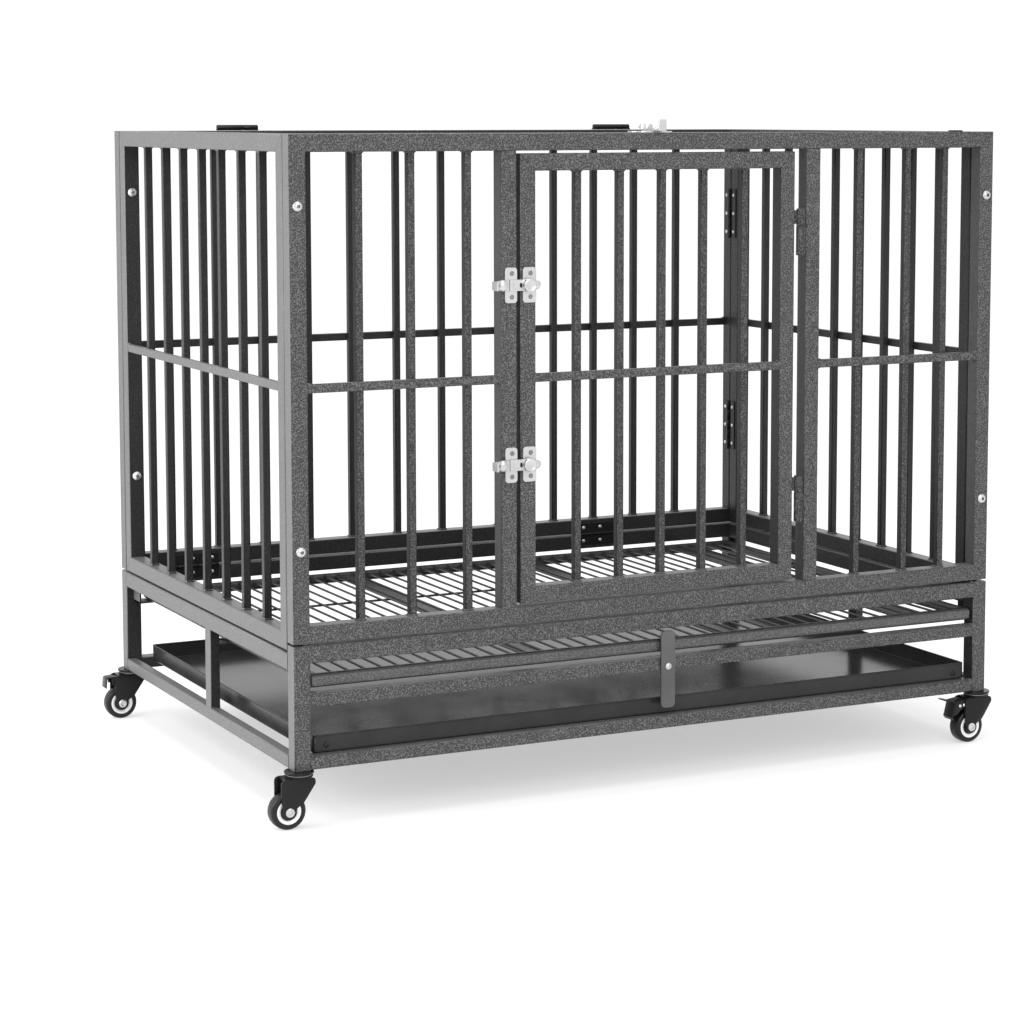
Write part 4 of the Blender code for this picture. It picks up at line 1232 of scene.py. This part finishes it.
def forkSide():
    nose, heel, hub = caster["nose"], caster["heel"], caster["hubRadius"]
    points = [(nose * 0.7, crownTop), (nose * 0.93, crownTop - 0.0012), (nose, crownTop - 0.0035),
              (nose, crownTop - 0.007), (0.001, axleZ + 0.009)]
    for i in range(9):
        a = math.radians(25.0 - 205.0 * i / 8)
        points.append((axleX + hub * math.cos(a), axleZ + hub * math.sin(a)))
    points += [(axleX - heel, axleZ + 0.016), (axleX - heel, crownTop - 0.004),
               (axleX - heel * 0.85, crownTop - 0.0012), (axleX - heel / 2, crownTop)]
    return points


def casterFork():
    shape = bmesh.new()
    inner, outer = caster["plateInner"], caster["plateInner"] + caster["plate"]
    addOutline(shape, forkSide(), -outer, -inner, 0.0005)
    addOutline(shape, forkSide(), inner, outer, 0.0005)
    addBar(shape, (axleX - 0.005, -outer + 0.0004, crownTop - 0.0026),
           (caster["nose"] * 0.7, outer - 0.0004, crownTop), 0, crate["plateRound"])
    addRod(shape, (axleX, -outer, axleZ), (axleX, outer, axleZ), 0.0035, 16, mark=1)
    cap = [
        (0.0, 0.0004), (0.002, 0.0004), (0.0024, 0.0013), (0.0034, 0.0016), (0.0045, 0.0013),
        (0.0052, 0.0005), (0.0052, -0.0004), (0.0, -0.0004),
    ]
    for way in (-1, 1):
        addTurned(shape, cap, faceTo((axleX, way * outer, axleZ), way), 28, mark=1)
    return shape


def casterWheel():
    shape = bmesh.new()
    r, w = caster["wheelRadius"], caster["wheelHalf"]
    spot = faceTo((axleX, 0.0, axleZ))
    halfSide = [
        (0.0038, w * 0.9), (r * 0.34, w * 0.9), (r * 0.44, w * 0.74), (r * 0.5, w * 0.66),
        (r * 0.645, w * 0.8), (r * 0.68, w * 0.96), (r * 0.74, w), (r * 0.86, w * 0.985),
        (r * 0.94, w * 0.9), (r * 0.985, w * 0.72), (r, w * 0.45),
    ]
    profile = halfSide + [(radius, -height) for radius, height in reversed(halfSide)]
    addTurned(shape, profile, spot, 64, ring=True, angle=40.0)
    inner, outer = caster["ring"]
    for way in (-w, w):
        ring = [
            (inner, way * 0.6), (inner + 0.0001, way * 0.86), (inner + 0.0006, way * 0.93),
            (outer - 0.0006, way), (outer, way * 0.96), (outer, way * 0.6),
        ]
        addTurned(shape, ring, spot, 64, ring=True, angle=50.0, mark=1)
    return shape


def brakePedal(short):
    shape = bmesh.new()
    px, pz = axleX - caster["pedalPivot"], axleZ + caster["pedalUp"]
    spot = Matrix.Translation((px, 0.0, pz))
    wide, thick = caster["pedalHalf"], caster["cheekThick"]
    cover = [(0.003, 0.004), (0.003, 0.0055), (-0.008, 0.0066)]
    cheek = [(0.0045, -0.004), (0.0045, 0.0035), (-0.008, 0.006)]
    if short:
        cover += [(-0.016, 0.0058), (-0.0182, 0.0044), (-0.0192, -0.008), (-0.018, -0.0082),
                  (-0.0171, 0.0036), (-0.0155, 0.0045), (-0.008, 0.0052)]
        cheek += [(-0.012, 0.0052), (-0.011, -0.004), (-0.006, -0.0046)]
    else:
        cover += [(-0.02, 0.0052), (-0.0215, 0.0048), (-0.029, 0.007), (-0.0345, 0.0078),
                  (-0.035, 0.0066), (-0.03, 0.0054), (-0.0222, 0.003), (-0.0268, -0.015),
                  (-0.024, -0.0185), (-0.0228, -0.018), (-0.0248, -0.0148), (-0.0208, 0.003),
                  (-0.019, 0.0038), (-0.008, 0.0052)]
        cheek += [(-0.0208, 0.0042), (-0.0245, -0.013), (-0.02, -0.012), (-0.013, -0.006),
                  (-0.006, -0.0045)]
    addOutline(shape, cover, -wide, wide, 0.0003, spot)
    for way in (-1, 1):
        ys = sorted((way * (wide - 0.0001), way * (wide + thick)))
        addOutline(shape, cheek, *ys, 0.0002, spot)
    if short:
        return shape
    rivet = [(0.0, 0.0011), (0.0012, 0.001), (0.0021, 0.0003), (0.0021, 0.0), (0.0, 0.0)]
    for x, z in ((px - 0.0145, pz - 0.001), (px - 0.0085, pz - 0.0004)):
        for way in (-1, 1):
            addTurned(shape, rivet, faceTo((x, way * (wide + thick), z), way), 18, mark=1)
    return shape


for corner, yaw in caster["yaw"].items():
    x = caster["inset"] if corner.endswith("left") else crate["length"] - caster["inset"]
    y = caster["inset"] if corner.startswith("front") else crate["depth"] - caster["inset"]
    spot = Matrix.Translation((x, y, 0.0)) @ Matrix.Rotation(math.radians(yaw), 4, "Z")
    finishPiece(f"{corner}_swivel_race", casterHead(), [blackPaint, screwPaint], "crate",
                [f"{corner}_caster_head"], spot)
    finishPiece(f"{corner}_fork_cheeks", casterFork(), mixedPaints, f"{corner}_fork",
                [f"{corner}_fork"], spot)
    finishPiece(f"{corner}_tyre", casterWheel(), [resinPaint, ringPaint], f"{corner}_wheel",
                [f"{corner}_wheel"], spot)
    if corner in caster["braked"]:
        pedal = f"{corner}_brake_pedal"
        finishPiece(f"{corner}_pedal", brakePedal(corner == "back_left"), mixedPaints,
                    pedal, [pedal], spot)
print("casters on")


# studio

studio = {
    "floorSize": 400.0,
    "floorTone": 0.5,
    "floorGlow": 0.5,
    "worldTone": 1.03,
    "cameraPlace": (-1.0141, -2.6576, 0.7802),
    "cameraYaw": 63.186,
    "cameraPitch": -5.936,
    "lens": 92.71,
    "shift": (-0.05, -0.12),
    "lamps": (
        ("left_lamp", (-0.95, 0.3, 0.75), (0.0, 0.3, 0.4), 0.9, 12.0),
        ("front_lamp", (0.1, -2.4, 1.8), (0.45, 0.2, 0.45), 1.6, 26.0),
        ("top_lamp", (0.3, 0.2, 2.8), (0.45, 0.3, 0.3), 2.0, 30.0),
    ),
}


def setStudio():
    white = (1.0, 1.0, 1.0, 1.0)
    paint, kit, shader, place = startPaint("floor_pale")
    shader.inputs["Base Color"].default_value = grey(studio["floorTone"])
    shader.inputs["Roughness"].default_value = 0.9
    shader.inputs["Emission Color"].default_value = white
    shader.inputs["Emission Strength"].default_value = studio["floorGlow"]
    shape = bmesh.new()
    bmesh.ops.create_grid(shape, x_segments=1, y_segments=1, size=studio["floorSize"])
    floor = newObject("floor", shape, [paint])
    world = bpy.data.worlds.new("studio")
    world.use_nodes = True
    sky = world.node_tree.nodes["Background"]
    sky.inputs["Color"].default_value = white
    sky.inputs["Strength"].default_value = studio["worldTone"]
    bpy.context.scene.world = world
    for name, place, aim, size, power in studio["lamps"]:
        light = bpy.data.lights.new(name, "AREA")
        light.shape = "SQUARE"
        light.size = size
        light.energy = power
        lamp = bpy.data.objects.new(name, light)
        lamp.location = Vector(place) + bodyCorner
        beam = Vector(aim) - Vector(place)
        lamp.rotation_euler = beam.to_track_quat("-Z", "Y").to_euler()
        bpy.context.scene.collection.objects.link(lamp)


def setCamera():
    data = bpy.data.cameras.new("photo_camera")
    data.lens = studio["lens"]
    data.sensor_width = 36.0
    data.shift_x, data.shift_y = studio["shift"]
    data.clip_end = 1000.0
    camera = bpy.data.objects.new("photo_camera", data)
    camera.location = Vector(studio["cameraPlace"]) + bodyCorner
    pitch = math.radians(90.0 + studio["cameraPitch"])
    camera.rotation_euler = (pitch, 0.0, math.radians(studio["cameraYaw"] - 90.0))
    bpy.context.scene.collection.objects.link(camera)
    bpy.context.scene.camera = camera


setStudio()
setCamera()
bpy.context.scene.view_settings.view_transform = "Standard"
print("studio lit")
